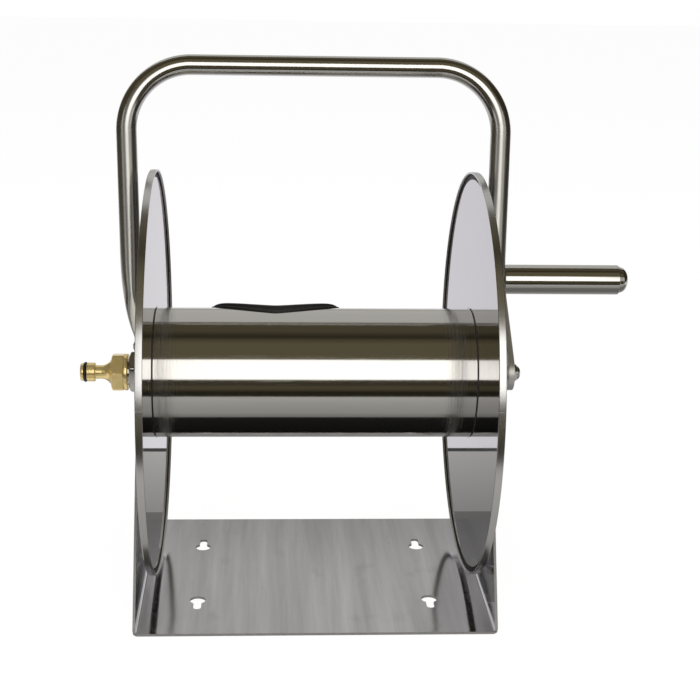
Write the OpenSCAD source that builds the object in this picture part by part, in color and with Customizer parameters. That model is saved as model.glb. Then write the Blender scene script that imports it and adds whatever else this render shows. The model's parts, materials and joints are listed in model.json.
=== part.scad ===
// Wall mounted hose reel: a bent sheet bracket carries a drum with two flanges,
// a water inlet through the left axle, a crank on the right and a tube handle.
// X runs along the axle from the inlet to the crank, -Y is the front, Z is up.
// The origin is on the underside of the base, straight below the axle's middle.

/* [Flanges] */
// Diameter of the two flange discs
flange_d = 320; // [260:5:360]
// Sheet thickness of the flange discs
flange_t = 1.5; // [1:0.1:2.5]
// Width of the turned lip, outer face to free edge
flange_lip = 5.4; // [4.5:0.1:10]
// Outside radius of the bend between disc and lip
flange_bend = 2.6; // [2.6:0.1:3.4]
// Width of the sunk ring between disc and lip
flange_sink_w = 4; // [2:0.5:6]
// Depth of that ring below the disc
flange_sink = 0.9; // [0.5:0.1:1.2]
// Clear width between the two flanges
reel_w = 251; // [226:1:300]

/* [Drum] */
// Outside diameter of the drum tube
drum_d = 103; // [90:1:130]
// Wall of the drum tube
drum_wall = 1.5; // [1:0.1:2]
// Width of the dark seam between drum and flange
seam_w = 0.8; // [0.4:0.1:1.5]
// Depth of that seam below the drum's surface
seam_depth = 0.8; // [0.4:0.1:1.0]
// Length of each end ring inside the drum
ring_len = 12.5; // [10:0.5:20]
// Radial wall of the end rings
ring_wall = 7; // [6.5:0.5:10]

/* [Hose port] */
// Length of the eye-shaped hose port along the axle
port_len = 92; // [80:1:110]
// Width of the hose port round the drum
port_w = 42; // [34:1:44]
// Middle of the port, measured from the middle of the drum
port_x = -30.5; // [-50:0.5:30]
// Tilt of the port behind the top of the drum
port_tilt = 22; // [0:1:40]
// How far the rubber trim reaches over the drum round the port
trim_w = 6.5; // [5:0.5:9]
// Height of the trim above the drum
trim_h = 3.6; // [2:0.1:5]
// Thickness of the trim's skirts
trim_skirt = 1.6; // [1:0.1:2]

/* [Bracket] */
// Sheet thickness of the bracket
sheet_t = 2; // [1.5:0.1:3]
// Inner bend radius of the bracket
bend_r = 2; // [1:0.5:4]
// Room between a flange and its side plate
side_gap = 8; // [7.5:0.1:14]
// Room between the flanges and the base
floor_gap = 6; // [4:0.5:40]
// Base length in front of the axle
base_front = 123.5; // [100:0.5:150]
// Base length behind the axle
base_back = 92.5; // [80:0.5:130]
// Radius of the side plates' round heads
head_r = 40; // [36:1:48]

/* [Keyholes] */
// Distance between the keyholes along the axle
key_dx = 182; // [120:1:200]
// Distance between the front and back keyholes
key_dy = 100; // [80:1:120]
// Front keyholes behind the front edge of the base
key_inset = 56; // [45:1:62]
// Diameter of a keyhole's round entry
key_d = 12.5; // [10:0.5:14]
// Width of a keyhole's slot
key_slot_w = 6.2; // [5:0.1:7]
// Run of a keyhole's slot from the entry's middle
key_run = 12.5; // [11:0.5:18]

/* [Carry handle] */
// Diameter of the handle tube
tube_d = 16; // [14:0.5:18]
// Wall of the handle tube
tube_wall = 1.5; // [1:0.1:2]
// Flange rim to the middle of the handle's top bar
handle_rise = 82.5; // [75:0.5:120]
// Middle radius of the handle's two upper bends
handle_bend_r = 51; // [35:1:60]
// Angle by which the handle leans back
handle_lean = 13; // [0:0.5:20]
// Angle by which the legs spread upwards
leg_splay = 1.7; // [0:0.1:2.5]
// Thickness of the flattened leg ends
tab_t = 3.6; // [3:0.1:4]
// Width of the flattened leg ends
tab_w = 24; // [22:0.5:26]
// Axle to the top of the flattened end
flat_from = 36; // [32:1:40]
// Axle to the start of the round tube
flat_to = 140; // [120:1:150]
// Axle to the handle screws
screw_rise = 20.5; // [20:0.5:24]

/* [Axle] */
// Diameter of the inlet spindle and of the right bearing's barrel
spindle_d = 16; // [15:0.1:16.5]
// Water bore through the inlet spindle
water_bore_d = 10; // [8:0.5:11]
// Diameter of the crank side axle
axle_d = 12; // [11:0.1:12.5]
// Size across flats of the two outer hexagons
collar_af = 30; // [28:1:32]
// Thickness of the two outer hexagons
collar_t = 5.2; // [4:0.1:7]
// Running clearance on the radius of each bearing
run_fit = 0.05; // [0.02:0.01:0.09]

/* [Hose connector] */
// Size across flats of the brass connector
connector_af = 28; // [26:0.5:30]
// Diameter of the connector's thread
connector_thread_d = 20.9; // [20:0.1:21]
// Diameter of the plug-in nipple
nipple_d = 15; // [14:0.1:15.8]
// Outside diameter of the nipple's seal ring
nipple_ring_d = 16; // [15.9:0.1:17]
// Diameter of the nipple's latch groove
latch_d = 10.8; // [10.4:0.1:12]
// Diameter of the hose tail inside the drum
tail_d = 13; // [12.5:0.1:15]
// Length of the hose tail's ribbed end
tail_len = 30; // [24:1:36]

/* [Crank] */
// Axle to the middle of the grip
crank_len = 95; // [80:1:105]
// Thickness of the crank arm
arm_t = 5; // [4:0.1:6]
// Radius of the arm's end at the axle
arm_hub_r = 14; // [12:0.5:16]
// Radius of the arm's end at the grip
arm_tip_r = 13; // [10:0.5:14]
// Angle of the resting arm above the horizontal, towards the back
arm_angle = 39; // [0:1:180]
// Diameter of the grip tube
grip_d = 25; // [22:0.5:30]
// Length of the grip tube
grip_len = 97.5; // [80:0.5:120]
// Wall of the grip tube
grip_wall = 1.5; // [1:0.1:2]
// Diameter of the spindle inside the grip
grip_pin_d = 10; // [8:0.5:10.5]
// Diameter of the domed cap on the grip's end
cap_d = 22.5; // [16:0.5:22.5]
// Height of the domed cap, ring and dome
cap_h = 8.5; // [8:0.5:12]

/* [Hidden] */
$fn = 96;
// Overshoot of a cut past the face it opens
over = 1;
// Play of a fastener or fitting in its hole, on the radius
hole_play = 0.1;
// Gap between two bodies that turn past each other
turn_gap = 0.4;
// Small parts: nuts, washers and screws
thin_nut_t = 4;
thin_nut_af = 24;
washer_t = 1.1;
small_washer_t = 1;
m5_r = 2.5;
m5_head_r = 4.2;
m5_head_h = 2.8;
m5_nut_af = 8;
m5_nut_t = 3.6;
m8_r = 4;
m8_nut_af = 13;
// Depth of a hexagon's corner chamfer, as a share of how far its corners stand out
chamfer_share = 0.7;
// Straight edge under each domed end
dome_land = 0.3;

// Radii and places that follow from the sizes above
flange_r = flange_d / 2;
drum_r = drum_d / 2;
axle_z = sheet_t + floor_gap + flange_r;
face_in = reel_w / 2;
face_out = face_in + flange_t;
side_in = face_out + side_gap;
side_out = side_in + sheet_t;
tab_out = side_out + tab_t;
collar_out = tab_out + collar_t;
thrust_x = side_in - thin_nut_t;
hub_x = thrust_x - washer_t - turn_gap;
key_front_y = key_inset - base_front;
spindle_r = spindle_d / 2;
axle_r = axle_d / 2;
hub_flange_r = 30;
hub_flange_t = 4;
hub_screw_circle_r = 24;
hub_screw_len = 3.6;
hub_x_in = face_in - hub_flange_t;
ring_r = drum_r - drum_wall - hole_play;
ring_bore_r = ring_r - ring_wall;
ring_screw_circle_r = ring_r - ring_wall / 2;
ring_screw_len = 9;
screw_count = 4;
screw_turn = 45;

// Handle: where a leg's middle line lies, at a height s along the handle
leg_gap = 0.6;
leg_foot = 98;
arm_clear = 1.1;
tube_r = tube_d / 2;
handle_top = flange_r + handle_rise;
function leg_x(s) = side_out + leg_gap + tube_r + (s - leg_foot) * tan(leg_splay);
bend_x = leg_x(handle_top - handle_bend_r) - handle_bend_r / cos(leg_splay);
bend_z = handle_top - handle_bend_r;
leg_top = bend_z - handle_bend_r * sin(leg_splay);

// Swivel inside the drum, as distances from the middle of the reel
journal_x = face_in - 30;
chamber_x = journal_x - 2;
swivel_end_x = chamber_x - 11;
swivel_barrel_r = 15;
swivel_hub_r = 14;
swivel_seal_x = [journal_x + 6, journal_x + 13];
seal_cord_r = 0.82;
seal_groove_r = 6.4;
seal_groove_w = 2.4;
tail_thread_r = 6.6;
tail_hex_af = 19;
tail_hex_t = 6;
tail_bore_r = 4.8;
barb_count = 6;
barb_h = 0.8;

// Hose connector, outwards from the inlet's collar
stub_len = 11;
connector_gap = 1.2;
skirt_t = 3.4;
skirt_r = connector_af / 2 + 0.6;
connector_hex_t = 9.6;
taper_len = 7.8;
taper_r = 10.8;
latch_len = 5.3;
nipple_len = 6.5;
ring_cord_r = 1.3;
tip_len = 2.6;
nipple_bore_r = 4.4;
socket_wall = 1.5;
skirt_x = collar_out + connector_gap;
hex_x = skirt_x + skirt_t;
taper_x = hex_x + connector_hex_t;
latch_x = taper_x + taper_len;
nipple_x = latch_x + latch_len;
ring_x = nipple_x + nipple_len;
tip_x = ring_x + 2 * ring_cord_r;
connector_end = tip_x + tip_len;
washer_x = collar_out + stub_len;

// Crank and grip
arm_in = leg_x(crank_len + arm_tip_r) + tube_r + arm_clear;
arm_out = arm_in + arm_t;
crank_hub_r = 11;
arm_seat_r = 5;
arm_seat_w = 8;
nut_x = arm_out + small_washer_t;
nut_hex_t = 2.2;
dome_r = 5.6;
dome_h = 3.2;
nut_depth = 3.6;
pin_root_r = 5;
pin_shoulder_r = 7;
pin_shoulder_t = 1.5;
grip_r = grip_d / 2;
grip_bore_r = grip_r - grip_wall;
grip_pin_r = grip_pin_d / 2;
grip_in = arm_out + pin_shoulder_t + turn_gap;
grip_out = grip_in + grip_len;
grip_corner_r = 1;
bush_len = 12;
bush_out = grip_out - 9;
grip_nut_t = 5.2;
grip_nut_x = bush_out + turn_gap;
cap_ring_t = 2.2;
cap_stem_t = 2.4;
cap_r = cap_d / 2;
cap_dome_h = cap_h - cap_ring_t;
cap_stem_r = cap_r - 0.4;

// Hose port: a curve between an oval and a rhombus, which its two half sizes give
port_power = 1.4;
port_points = 80;
trim_in = 1.5;
trim_out = trim_w - trim_in;
trim_bead_out = trim_out - 3;

// Bars, tubes and turned shapes on the axle's line

module on_axle(x) {
    translate([x, 0, axle_z]) rotate([0, 90, 0]) children();
}

module on_left() {
    mirror([1, 0, 0]) children();
}

module rod(x0, x1, r) {
    on_axle(x0) cylinder(h = x1 - x0, r = r);
}

module pipe(x0, x1, r_out, r_in) {
    difference() {
        rod(x0, x1, r_out);
        rod(x0 - over, x1 + over, r_in);
    }
}

// A hexagonal bar with one corner turned this many degrees up from the front
module hex_rod(x0, x1, af, turn) {
    on_axle(x0) rotate([0, 0, -90 - turn]) cylinder(h = x1 - x0, r = af / sqrt(3), $fn = 6);
}

// A solid of revolution through points given as [distance along X, radius]
module turned(points) {
    on_axle(0) rotate_extrude() polygon([for (p = points) [p[1], p[0]]]);
}

module seal_ring(x, r_mid, r_cord) {
    on_axle(x) rotate_extrude() translate([r_mid, 0]) circle(r = r_cord, $fn = 32);
}

// A hexagonal nut whose outer corners are cut back by a cone
module chamfered_hex(x0, x1, af, turn) {
    corner_r = af / sqrt(3);
    cut = (corner_r - af / 2) * chamfer_share;
    end_r = af / 2 - cut / 2;
    rise = corner_r - end_r;
    intersection() {
        hex_rod(x0, x1, af, turn);
        turned([[x0 - over, 0], [x0 - over, corner_r + rise], [x1 - 2 * cut, corner_r + rise],
                [x1 + cut, end_r - rise], [x1 + cut, 0]]);
    }
}

// Places children on a circle of screws round the axle
module at_screws(circle_r) {
    for (i = [0 : screw_count - 1])
        translate([0, 0, axle_z]) rotate([screw_turn + i * 360 / screw_count, 0, 0])
            translate([0, 0, circle_r]) rotate([0, 90, 0]) children();
}

// Bracket: a sheet with keyholes, bent up at both ends

// Point where the edge from a base corner touches the round head
function touch(y) =
    let (d = sqrt(y * y + axle_z * axle_z),
         way = y < 0 ? -1 : 1,
         a = atan2(-axle_z, y) + way * acos(head_r / d))
    [head_r * cos(a), axle_z + head_r * sin(a)];

module side_outline() {
    translate([-base_front, 0]) square([base_front + base_back, sheet_t]);
    polygon([[-base_front, 0], [base_back, 0], touch(base_back), touch(-base_front)]);
    translate([0, axle_z]) circle(r = head_r);
}

// A tall block with its two lower corners rounded
module rounded_floor(half, low, r) {
    top = axle_z + 2 * head_r;
    translate([-half + r, low]) square([2 * (half - r), top]);
    translate([-half, low + r]) square([2 * half, top - r]);
    for (s = [-1, 1])
        translate([s * (half - r), low + r]) circle(r = r);
}

module keyhole(dir) {
    translate([0, 0, -over]) linear_extrude(sheet_t + 2 * over) {
        circle(r = key_d / 2);
        translate([0, dir * key_run / 2]) square([key_slot_w, key_run], center = true);
        translate([0, dir * key_run]) circle(r = key_slot_w / 2);
    }
}

module bracket() {
    color([0.62, 0.61, 0.61]) difference() {
        intersection() {
            translate([0, base_back, 0]) rotate([90, 0, 0])
                linear_extrude(base_front + base_back) difference() {
                    rounded_floor(side_out, 0, bend_r + sheet_t);
                    rounded_floor(side_in, sheet_t, bend_r);
                }
            translate([-side_out - over, 0, 0]) rotate([90, 0, 90])
                linear_extrude(2 * (side_out + over)) side_outline();
        }
        rod(-side_out - over, side_out + over, spindle_r + hole_play);
        for (s = [-1, 1])
            handle_frame() translate([s * side_out, 0, screw_rise]) rotate([0, 90, 0])
                cylinder(h = 3 * sheet_t, r = m5_r + hole_play, center = true);
        for (s = [-1, 1]) {
            translate([s * key_dx / 2, key_front_y, 0]) keyhole(-1);
            translate([s * key_dx / 2, key_front_y + key_dy, 0]) keyhole(1);
        }
    }
}

// Carry handle: a bent tube whose ends are pressed flat and bolted on

module handle_frame() {
    translate([0, 0, axle_z]) rotate([-handle_lean, 0, 0]) children();
}

module tube_run(r) {
    translate([0, 0, handle_top]) rotate([0, 90, 0]) cylinder(h = 2 * bend_x, r = r, center = true);
    for (s = [0, 1]) mirror([s, 0, 0]) {
        translate([bend_x, 0, bend_z]) rotate([90, 0, 0]) rotate([0, 0, -leg_splay])
            rotate_extrude(angle = 90 + leg_splay) translate([handle_bend_r, 0]) circle(r = r);
        translate([leg_x(flat_to), 0, flat_to]) rotate([0, leg_splay, 0])
            cylinder(h = (leg_top - flat_to) / cos(leg_splay), r = r);
    }
}

module flat_end() {
    slice = 0.8;
    press_play = 0.04;
    half_t = 0.72 * tube_r;
    half_w = sqrt(2 * tube_r * tube_r - half_t * half_t);
    half_s = (flat_from + flat_to) / 2;
    difference() {
        union() {
            translate([side_out, 0, 0]) rotate([0, 90, 0]) cylinder(h = tab_t, r = tab_w / 2);
            translate([side_out, -tab_w / 2, 0]) cube([tab_t, tab_w, flat_from]);
        }
        translate([0, 0, -axle_z]) rod(side_out - over, tab_out + over, spindle_r + hole_play);
        translate([side_out - over, 0, screw_rise]) rotate([0, 90, 0])
            cylinder(h = tab_t + 2 * over, r = m5_r + hole_play);
    }
    hull() {
        translate([side_out + press_play, press_play - tab_w / 2, flat_from - slice])
            cube([tab_t - 2 * press_play, tab_w - 2 * press_play, slice]);
        pressed_slice(half_t, half_w, half_s, slice);
    }
    hull() {
        pressed_slice(half_t, half_w, half_s, slice);
        translate([leg_x(flat_to), 0, flat_to]) rotate([0, leg_splay, 0])
            translate([0, 0, -slice]) cylinder(h = slice, r = tube_r - press_play, $fn = 48);
    }
}

// Half-way slice of the pressed end, oval and lying against the tab's inner side
module pressed_slice(half_t, half_w, s, slice) {
    translate([side_out + leg_gap / 2 + half_t, 0, s]) scale([half_t / half_w, 1, 1])
        cylinder(h = slice, r = half_w, $fn = 48);
}

module carry_handle() {
    color([0.55, 0.54, 0.49]) handle_frame() {
        difference() {
            tube_run(tube_r);
            tube_run(tube_r - tube_wall);
        }
        for (s = [0, 1]) mirror([s, 0, 0]) flat_end();
    }
}

module handle_bolt_places() {
    for (s = [0, 1]) mirror([s, 0, 0]) handle_frame()
        translate([0, 0, screw_rise]) rotate([0, 90, 0]) children();
}

module handle_screws() {
    shank_in = side_in - m5_nut_t - 0.4;
    color([0.7, 0.7, 0.68]) handle_bolt_places() {
        translate([0, 0, shank_in]) cylinder(h = tab_out - shank_in, r = m5_r);
        translate([0, 0, tab_out]) intersection() {
            cylinder(h = m5_head_h, r = m5_head_r);
            translate([0, 0, m5_head_h - 2 * m5_head_r]) sphere(r = 2 * m5_head_r);
        }
    }
}

module handle_nuts() {
    color([0.7, 0.7, 0.68]) handle_bolt_places() difference() {
        translate([0, 0, side_in - m5_nut_t]) cylinder(h = m5_nut_t, r = m5_nut_af / sqrt(3), $fn = 6);
        translate([0, 0, side_in - m5_nut_t - over]) cylinder(h = m5_nut_t + 2 * over, r = m5_r);
    }
}

// Inlet side of the axle: a fixed hollow spindle that the reel turns on

module inlet_spindle() {
    color([0.68, 0.66, 0.64]) on_left() difference() {
        union() {
            rod(journal_x, tab_out, spindle_r);
            chamfered_hex(tab_out, collar_out, collar_af, 26);
            rod(collar_out, washer_x, connector_thread_d / 2);
        }
        rod(journal_x - over, washer_x + over, water_bore_d / 2);
        for (x = swivel_seal_x)
            pipe(x - seal_groove_w / 2, x + seal_groove_w / 2, spindle_r + over, seal_groove_r);
    }
}

module thin_nut(r) {
    difference() {
        hex_rod(thrust_x, side_in, thin_nut_af, 30);
        rod(thrust_x - over, side_in + over, r);
    }
}

module inlet_locknut() {
    color([0.7, 0.7, 0.68]) on_left() thin_nut(spindle_r);
}

module swivel_o_rings() {
    color([0.08, 0.08, 0.08]) on_left() for (x = swivel_seal_x)
        seal_ring(x, seal_groove_r + seal_cord_r, seal_cord_r);
}

module left_thrust_washer() {
    color([0.9, 0.9, 0.86]) on_left()
        pipe(thrust_x - washer_t, thrust_x, swivel_hub_r - 0.5, spindle_r + hole_play);
}

// Brass connector: hexagon, taper and plug-in nipple, outwards from the collar

module inlet_connector() {
    nipple_r = nipple_d / 2;
    latch_r = latch_d / 2;
    ring_seat_r = nipple_ring_d / 2 - 2 * ring_cord_r;
    tip_r = nipple_r - 0.5;
    chamfer = 0.8;
    color([0.78, 0.66, 0.36]) on_left() difference() {
        union() {
            rod(skirt_x, hex_x, skirt_r);
            chamfered_hex(hex_x, taper_x, connector_af, 10.5);
            turned([[taper_x, 0], [taper_x, taper_r], [taper_x + 1, taper_r - 0.4],
                    [latch_x - 1.6, latch_r + 0.9], [latch_x, latch_r],
                    [nipple_x, latch_r], [nipple_x, nipple_r - chamfer],
                    [nipple_x + chamfer, nipple_r], [ring_x, nipple_r],
                    [ring_x, ring_seat_r], [tip_x, ring_seat_r], [tip_x, tip_r],
                    [connector_end - chamfer, tip_r], [connector_end, tip_r - chamfer],
                    [connector_end, 0]]);
        }
        rod(skirt_x - over, washer_x + socket_wall, connector_thread_d / 2);
        rod(skirt_x, connector_end + over, nipple_bore_r);
    }
}

module connector_o_ring() {
    color([0.06, 0.06, 0.06]) on_left()
        seal_ring(ring_x + ring_cord_r, nipple_ring_d / 2 - ring_cord_r, ring_cord_r);
}

module connector_washer() {
    color([0.1, 0.1, 0.1]) on_left()
        pipe(washer_x, washer_x + socket_wall, connector_thread_d / 2 - hole_play, nipple_bore_r + 1);
}

// Crank side bearing, clamped through side plate and handle

module right_bearing() {
    color([0.66, 0.65, 0.62]) difference() {
        union() {
            rod(thrust_x, tab_out, spindle_r);
            chamfered_hex(tab_out, collar_out, collar_af, 26);
        }
        rod(thrust_x - over, collar_out + over, axle_r + run_fit);
    }
}

module right_locknut() {
    color([0.7, 0.7, 0.68]) thin_nut(spindle_r);
}

module right_thrust_washer() {
    color([0.9, 0.9, 0.86]) pipe(thrust_x - washer_t, thrust_x, crank_hub_r, axle_r + turn_gap);
}

// Flanges: discs with a lip turned towards the drum

module flange(hub_r) {
    inner_bend = flange_bend - flange_t;
    rim_out = face_out + flange_sink;
    corner = [flange_r - flange_bend, rim_out - flange_bend];
    flat_r = flange_r - flange_t - flange_sink_w;
    color([0.8, 0.79, 0.82]) difference() {
        on_axle(0) rotate_extrude($fn = 180) {
            polygon([[0, face_in], [flat_r, face_in], [flat_r, face_in + flange_sink],
                     [corner[0], face_in + flange_sink], [corner[0], rim_out],
                     [flat_r - flange_t, rim_out], [flat_r - flange_t, face_out], [0, face_out]]);
            intersection() {
                translate(corner) difference() {
                    circle(r = flange_bend);
                    circle(r = inner_bend);
                }
                translate(corner) square(flange_bend);
            }
            translate([flange_r - flange_t, rim_out - flange_lip])
                square([flange_t, flange_lip - flange_bend]);
        }
        rod(face_in - over, face_out + over, hub_r + hole_play);
        at_screws(hub_screw_circle_r) translate([0, 0, face_in - over])
            cylinder(h = flange_t + 2 * over, r = m5_r + hole_play);
        at_screws(ring_screw_circle_r) translate([0, 0, face_in - over])
            cylinder(h = flange_t + 2 * over, r = m5_r + hole_play);
    }
}

module left_flange() {
    on_left() flange(swivel_hub_r);
}

module right_flange() {
    flange(crank_hub_r);
}

// Button head screws from outside a flange into a tapped ring or hub
module flange_screw_set(circle_r, length) {
    color([0.7, 0.7, 0.68]) at_screws(circle_r) {
        translate([0, 0, face_out - length - flange_t]) cylinder(h = length + flange_t, r = m5_r);
        translate([0, 0, face_out]) intersection() {
            cylinder(h = m5_head_h, r = m5_head_r);
            translate([0, 0, m5_head_h - 2 * m5_head_r]) sphere(r = 2 * m5_head_r);
        }
    }
}

module left_flange_screws() {
    on_left() flange_screw_set(ring_screw_circle_r, ring_screw_len);
}

module right_flange_screws() {
    flange_screw_set(ring_screw_circle_r, ring_screw_len);
}

module left_hub_screws() {
    on_left() flange_screw_set(hub_screw_circle_r, hub_screw_len);
}

module right_hub_screws() {
    flange_screw_set(hub_screw_circle_r, hub_screw_len);
}

// Drum: a tube with a hose port, seated on a ring at each end

function eye_axis(half, share) = half * sign(share) * pow(abs(share), 2 / port_power);

module oval(grow) {
    polygon([for (i = [0 : port_points - 1])
        let (a = (i + 0.5) * 360 / port_points)
        [eye_axis(port_len / 2 + grow, cos(a)), eye_axis(port_w / 2 + grow, sin(a))]]);
}

module port_prism() {
    translate([port_x, 0, axle_z]) rotate([-port_tilt, 0, 0])
        translate([0, 0, drum_r / 4]) linear_extrude(drum_r) children();
}

module drum_shell() {
    end_x = face_in - seam_w;
    color([0.6, 0.58, 0.52]) difference() {
        pipe(-end_x, end_x, drum_r, drum_r - drum_wall);
        port_prism() oval(0);
    }
}

// One layer of the trim, between two radii and two growths of the oval
module trim_layer(r_in, r_out, grow_in, grow_out) {
    intersection() {
        pipe(-face_in, face_in, r_out, r_in);
        port_prism() difference() {
            oval(grow_out);
            oval(grow_in);
        }
    }
}

module hose_port_trim() {
    inner_r = drum_r - drum_wall;
    color([0.07, 0.07, 0.07]) union() {
        trim_layer(inner_r - trim_skirt, drum_r + trim_h, -trim_in, 0);
        trim_layer(inner_r - trim_skirt, inner_r, 0, trim_out - trim_in);
        trim_layer(drum_r, drum_r + trim_skirt, 0, trim_out);
        trim_layer(drum_r + trim_skirt, drum_r + trim_h, 0, trim_bead_out);
    }
}

module end_ring() {
    color([0.3, 0.3, 0.3]) difference() {
        union() {
            pipe(face_in - ring_len, face_in, ring_r, ring_bore_r);
            pipe(face_in - seam_w, face_in, drum_r - seam_depth, ring_bore_r);
        }
        at_screws(ring_screw_circle_r) translate([0, 0, face_in - ring_screw_len])
            cylinder(h = ring_screw_len + over, r = m5_r);
    }
}

module left_end_ring() {
    on_left() end_ring();
}

module right_end_ring() {
    end_ring();
}

// Swivel: carries the left flange, turns on the spindle and feeds the hose tail

module swivel_housing() {
    color([0.76, 0.64, 0.36]) on_left() difference() {
        union() {
            rod(swivel_end_x, hub_x_in, swivel_barrel_r);
            rod(hub_x_in, face_in, hub_flange_r);
            rod(face_in, hub_x, swivel_hub_r);
        }
        rod(chamber_x, hub_x + over, spindle_r + run_fit);
        rod(swivel_end_x - over, hub_x, tail_thread_r);
        at_screws(hub_screw_circle_r) translate([0, 0, hub_x_in - over])
            cylinder(h = hub_flange_t + 2 * over, r = m5_r);
    }
}

module hose_tail() {
    r = tail_d / 2;
    hex_end = swivel_end_x - tail_hex_t;
    pitch = tail_len / barb_count;
    barbs = [for (i = [0 : barb_count - 1], end = [0, 1])
        [hex_end - (i + end) * pitch, end == 0 ? r + barb_h : r - barb_h / 2]];
    color([0.78, 0.66, 0.36]) on_left() difference() {
        union() {
            rod(hex_end, chamber_x - over, tail_thread_r);
            hex_rod(hex_end, swivel_end_x, tail_hex_af, 0);
            turned(concat([[hex_end + over, 0], [hex_end + over, tail_thread_r]], barbs,
                          [[hex_end - tail_len, 0]]));
        }
        rod(hex_end - tail_len - over, chamber_x + over, tail_bore_r);
    }
}

// Crank side of the axle, from the right flange out to the dome nut

module stub_axle() {
    color([0.66, 0.65, 0.62]) difference() {
        union() {
            rod(hub_x_in, face_in, hub_flange_r);
            rod(face_in, hub_x, crank_hub_r);
            rod(hub_x, arm_in, axle_r);
            crank_frame() translate([arm_in, 0, 0]) rotate([90, 0, 90])
                linear_extrude(arm_t) seat_outline();
            rod(hub_x, nut_x + nut_depth, m8_r);
        }
        at_screws(hub_screw_circle_r) translate([0, 0, hub_x_in - over])
            cylinder(h = hub_flange_t + 2 * over, r = m5_r);
    }
}

module crank_frame() {
    translate([0, 0, axle_z]) rotate([arm_angle, 0, 0]) children();
}

// A round with two flats, which carries the crank's turning force
module seat_outline() {
    intersection() {
        circle(r = arm_seat_r);
        square([3 * arm_seat_r, arm_seat_w], center = true);
    }
}

module crank_arm() {
    lean = asin((arm_hub_r - arm_tip_r) / crank_len);
    hub = arm_hub_r * [sin(lean), cos(lean)];
    tip = arm_tip_r * [sin(lean), cos(lean)] + [crank_len, 0];
    color([0.5, 0.5, 0.47]) crank_frame() translate([arm_in, 0, 0]) rotate([90, 0, 90])
        difference() {
            union() {
                cylinder(h = arm_t, r = arm_hub_r);
                translate([crank_len, 0, 0]) cylinder(h = arm_t, r = arm_tip_r);
                linear_extrude(arm_t) polygon([hub, tip, [tip[0], -tip[1]], [hub[0], -hub[1]]]);
            }
            translate([0, 0, -over]) linear_extrude(arm_t + 2 * over) seat_outline();
            translate([crank_len, 0, -over]) cylinder(h = arm_t + 2 * over, r = pin_root_r);
        }
}

module crank_washer() {
    color([0.72, 0.72, 0.7]) pipe(arm_out, nut_x, 2 * m8_r, m8_r + hole_play);
}

module acorn_nut() {
    rise = dome_h - dome_land;
    ball_r = (dome_r * dome_r + rise * rise) / (2 * rise);
    dome_x = nut_x + nut_hex_t;
    color([0.72, 0.72, 0.68]) difference() {
        union() {
            chamfered_hex(nut_x, dome_x, m8_nut_af, 20);
            intersection() {
                rod(dome_x, dome_x + dome_h + over, dome_r);
                on_axle(dome_x + dome_h - ball_r) sphere(r = ball_r);
            }
        }
        rod(nut_x - over, nut_x + nut_depth, m8_r);
    }
}

// Grip: a tube on two bushes that turns on the pin at the crank's end

module grip_place() {
    crank_frame() translate([0, crank_len, -axle_z]) children();
}

module grip_spindle() {
    thread_x = grip_nut_x + grip_nut_t + 0.4;
    color([0.66, 0.65, 0.62]) grip_place() {
        rod(arm_in, arm_out, pin_root_r);
        rod(arm_out, arm_out + pin_shoulder_t, pin_shoulder_r);
        rod(arm_out + pin_shoulder_t, bush_out + turn_gap / 2, grip_pin_r);
        rod(bush_out + turn_gap / 2, thread_x, m8_r);
    }
}

module grip_nut() {
    color([0.7, 0.7, 0.68]) grip_place() difference() {
        hex_rod(grip_nut_x, grip_nut_x + grip_nut_t, m8_nut_af, 0);
        rod(grip_nut_x - over, grip_nut_x + grip_nut_t + over, m8_r);
    }
}

module grip_sleeve() {
    color([0.58, 0.56, 0.5]) grip_place() difference() {
        on_axle(0) rotate_extrude() {
            translate([0, grip_in]) square([grip_r, grip_len - grip_corner_r]);
            translate([0, grip_in]) square([grip_r - grip_corner_r, grip_len]);
            translate([grip_r - grip_corner_r, grip_out - grip_corner_r]) circle(r = grip_corner_r);
        }
        rod(grip_in - over, grip_out - grip_corner_r, grip_bore_r);
        rod(grip_in, grip_out + over, cap_stem_r);
    }
}

module grip_bush(x0) {
    pipe(x0, x0 + bush_len, grip_bore_r, grip_pin_r + run_fit);
}

module grip_inner_bush() {
    color([0.1, 0.1, 0.1]) grip_place() grip_bush(grip_in);
}

module grip_outer_bush() {
    color([0.1, 0.1, 0.1]) grip_place() grip_bush(bush_out - bush_len);
}

module grip_cap() {
    rise = cap_dome_h - dome_land;
    ball_r = (cap_r * cap_r + rise * rise) / (2 * rise);
    ring_end = grip_out + cap_ring_t;
    color([0.3, 0.3, 0.28]) grip_place() {
        rod(grip_out - cap_stem_t, grip_out, cap_stem_r);
        rod(grip_out, ring_end, cap_r);
        intersection() {
            rod(ring_end, ring_end + cap_dome_h + over, cap_r);
            on_axle(ring_end + cap_dome_h - ball_r) sphere(r = ball_r);
        }
    }
}

bracket();
carry_handle();
handle_screws();
handle_nuts();
inlet_spindle();
inlet_locknut();
swivel_o_rings();
left_thrust_washer();
inlet_connector();
connector_o_ring();
connector_washer();
right_bearing();
right_locknut();
right_thrust_washer();
left_flange();
right_flange();
drum_shell();
hose_port_trim();
left_end_ring();
right_end_ring();
left_flange_screws();
right_flange_screws();
swivel_housing();
left_hub_screws();
hose_tail();
stub_axle();
right_hub_screws();
crank_arm();
crank_washer();
acorn_nut();
grip_spindle();
grip_nut();
grip_sleeve();
grip_inner_bush();
grip_outer_bush();
grip_cap();
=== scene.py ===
# %% [markdown]
# # A wall mounted hose reel in polished steel
#
# The reel is an open one. A bent sheet bracket with four keyholes stands on the wall or the floor.
# Between its two side plates turns a drum with a disc at each end. Water comes in through a brass
# nipple on the left, a crank with a turning grip stands on the right, and a bent tube arches over
# it all as a handle.
#
# The CAD model gives every size and every moving body. Here each piece gets its finish, and the
# pieces that show get a finer mesh, because polished steel mirrors its surroundings and shows
# every facet of a coarse one.

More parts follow.
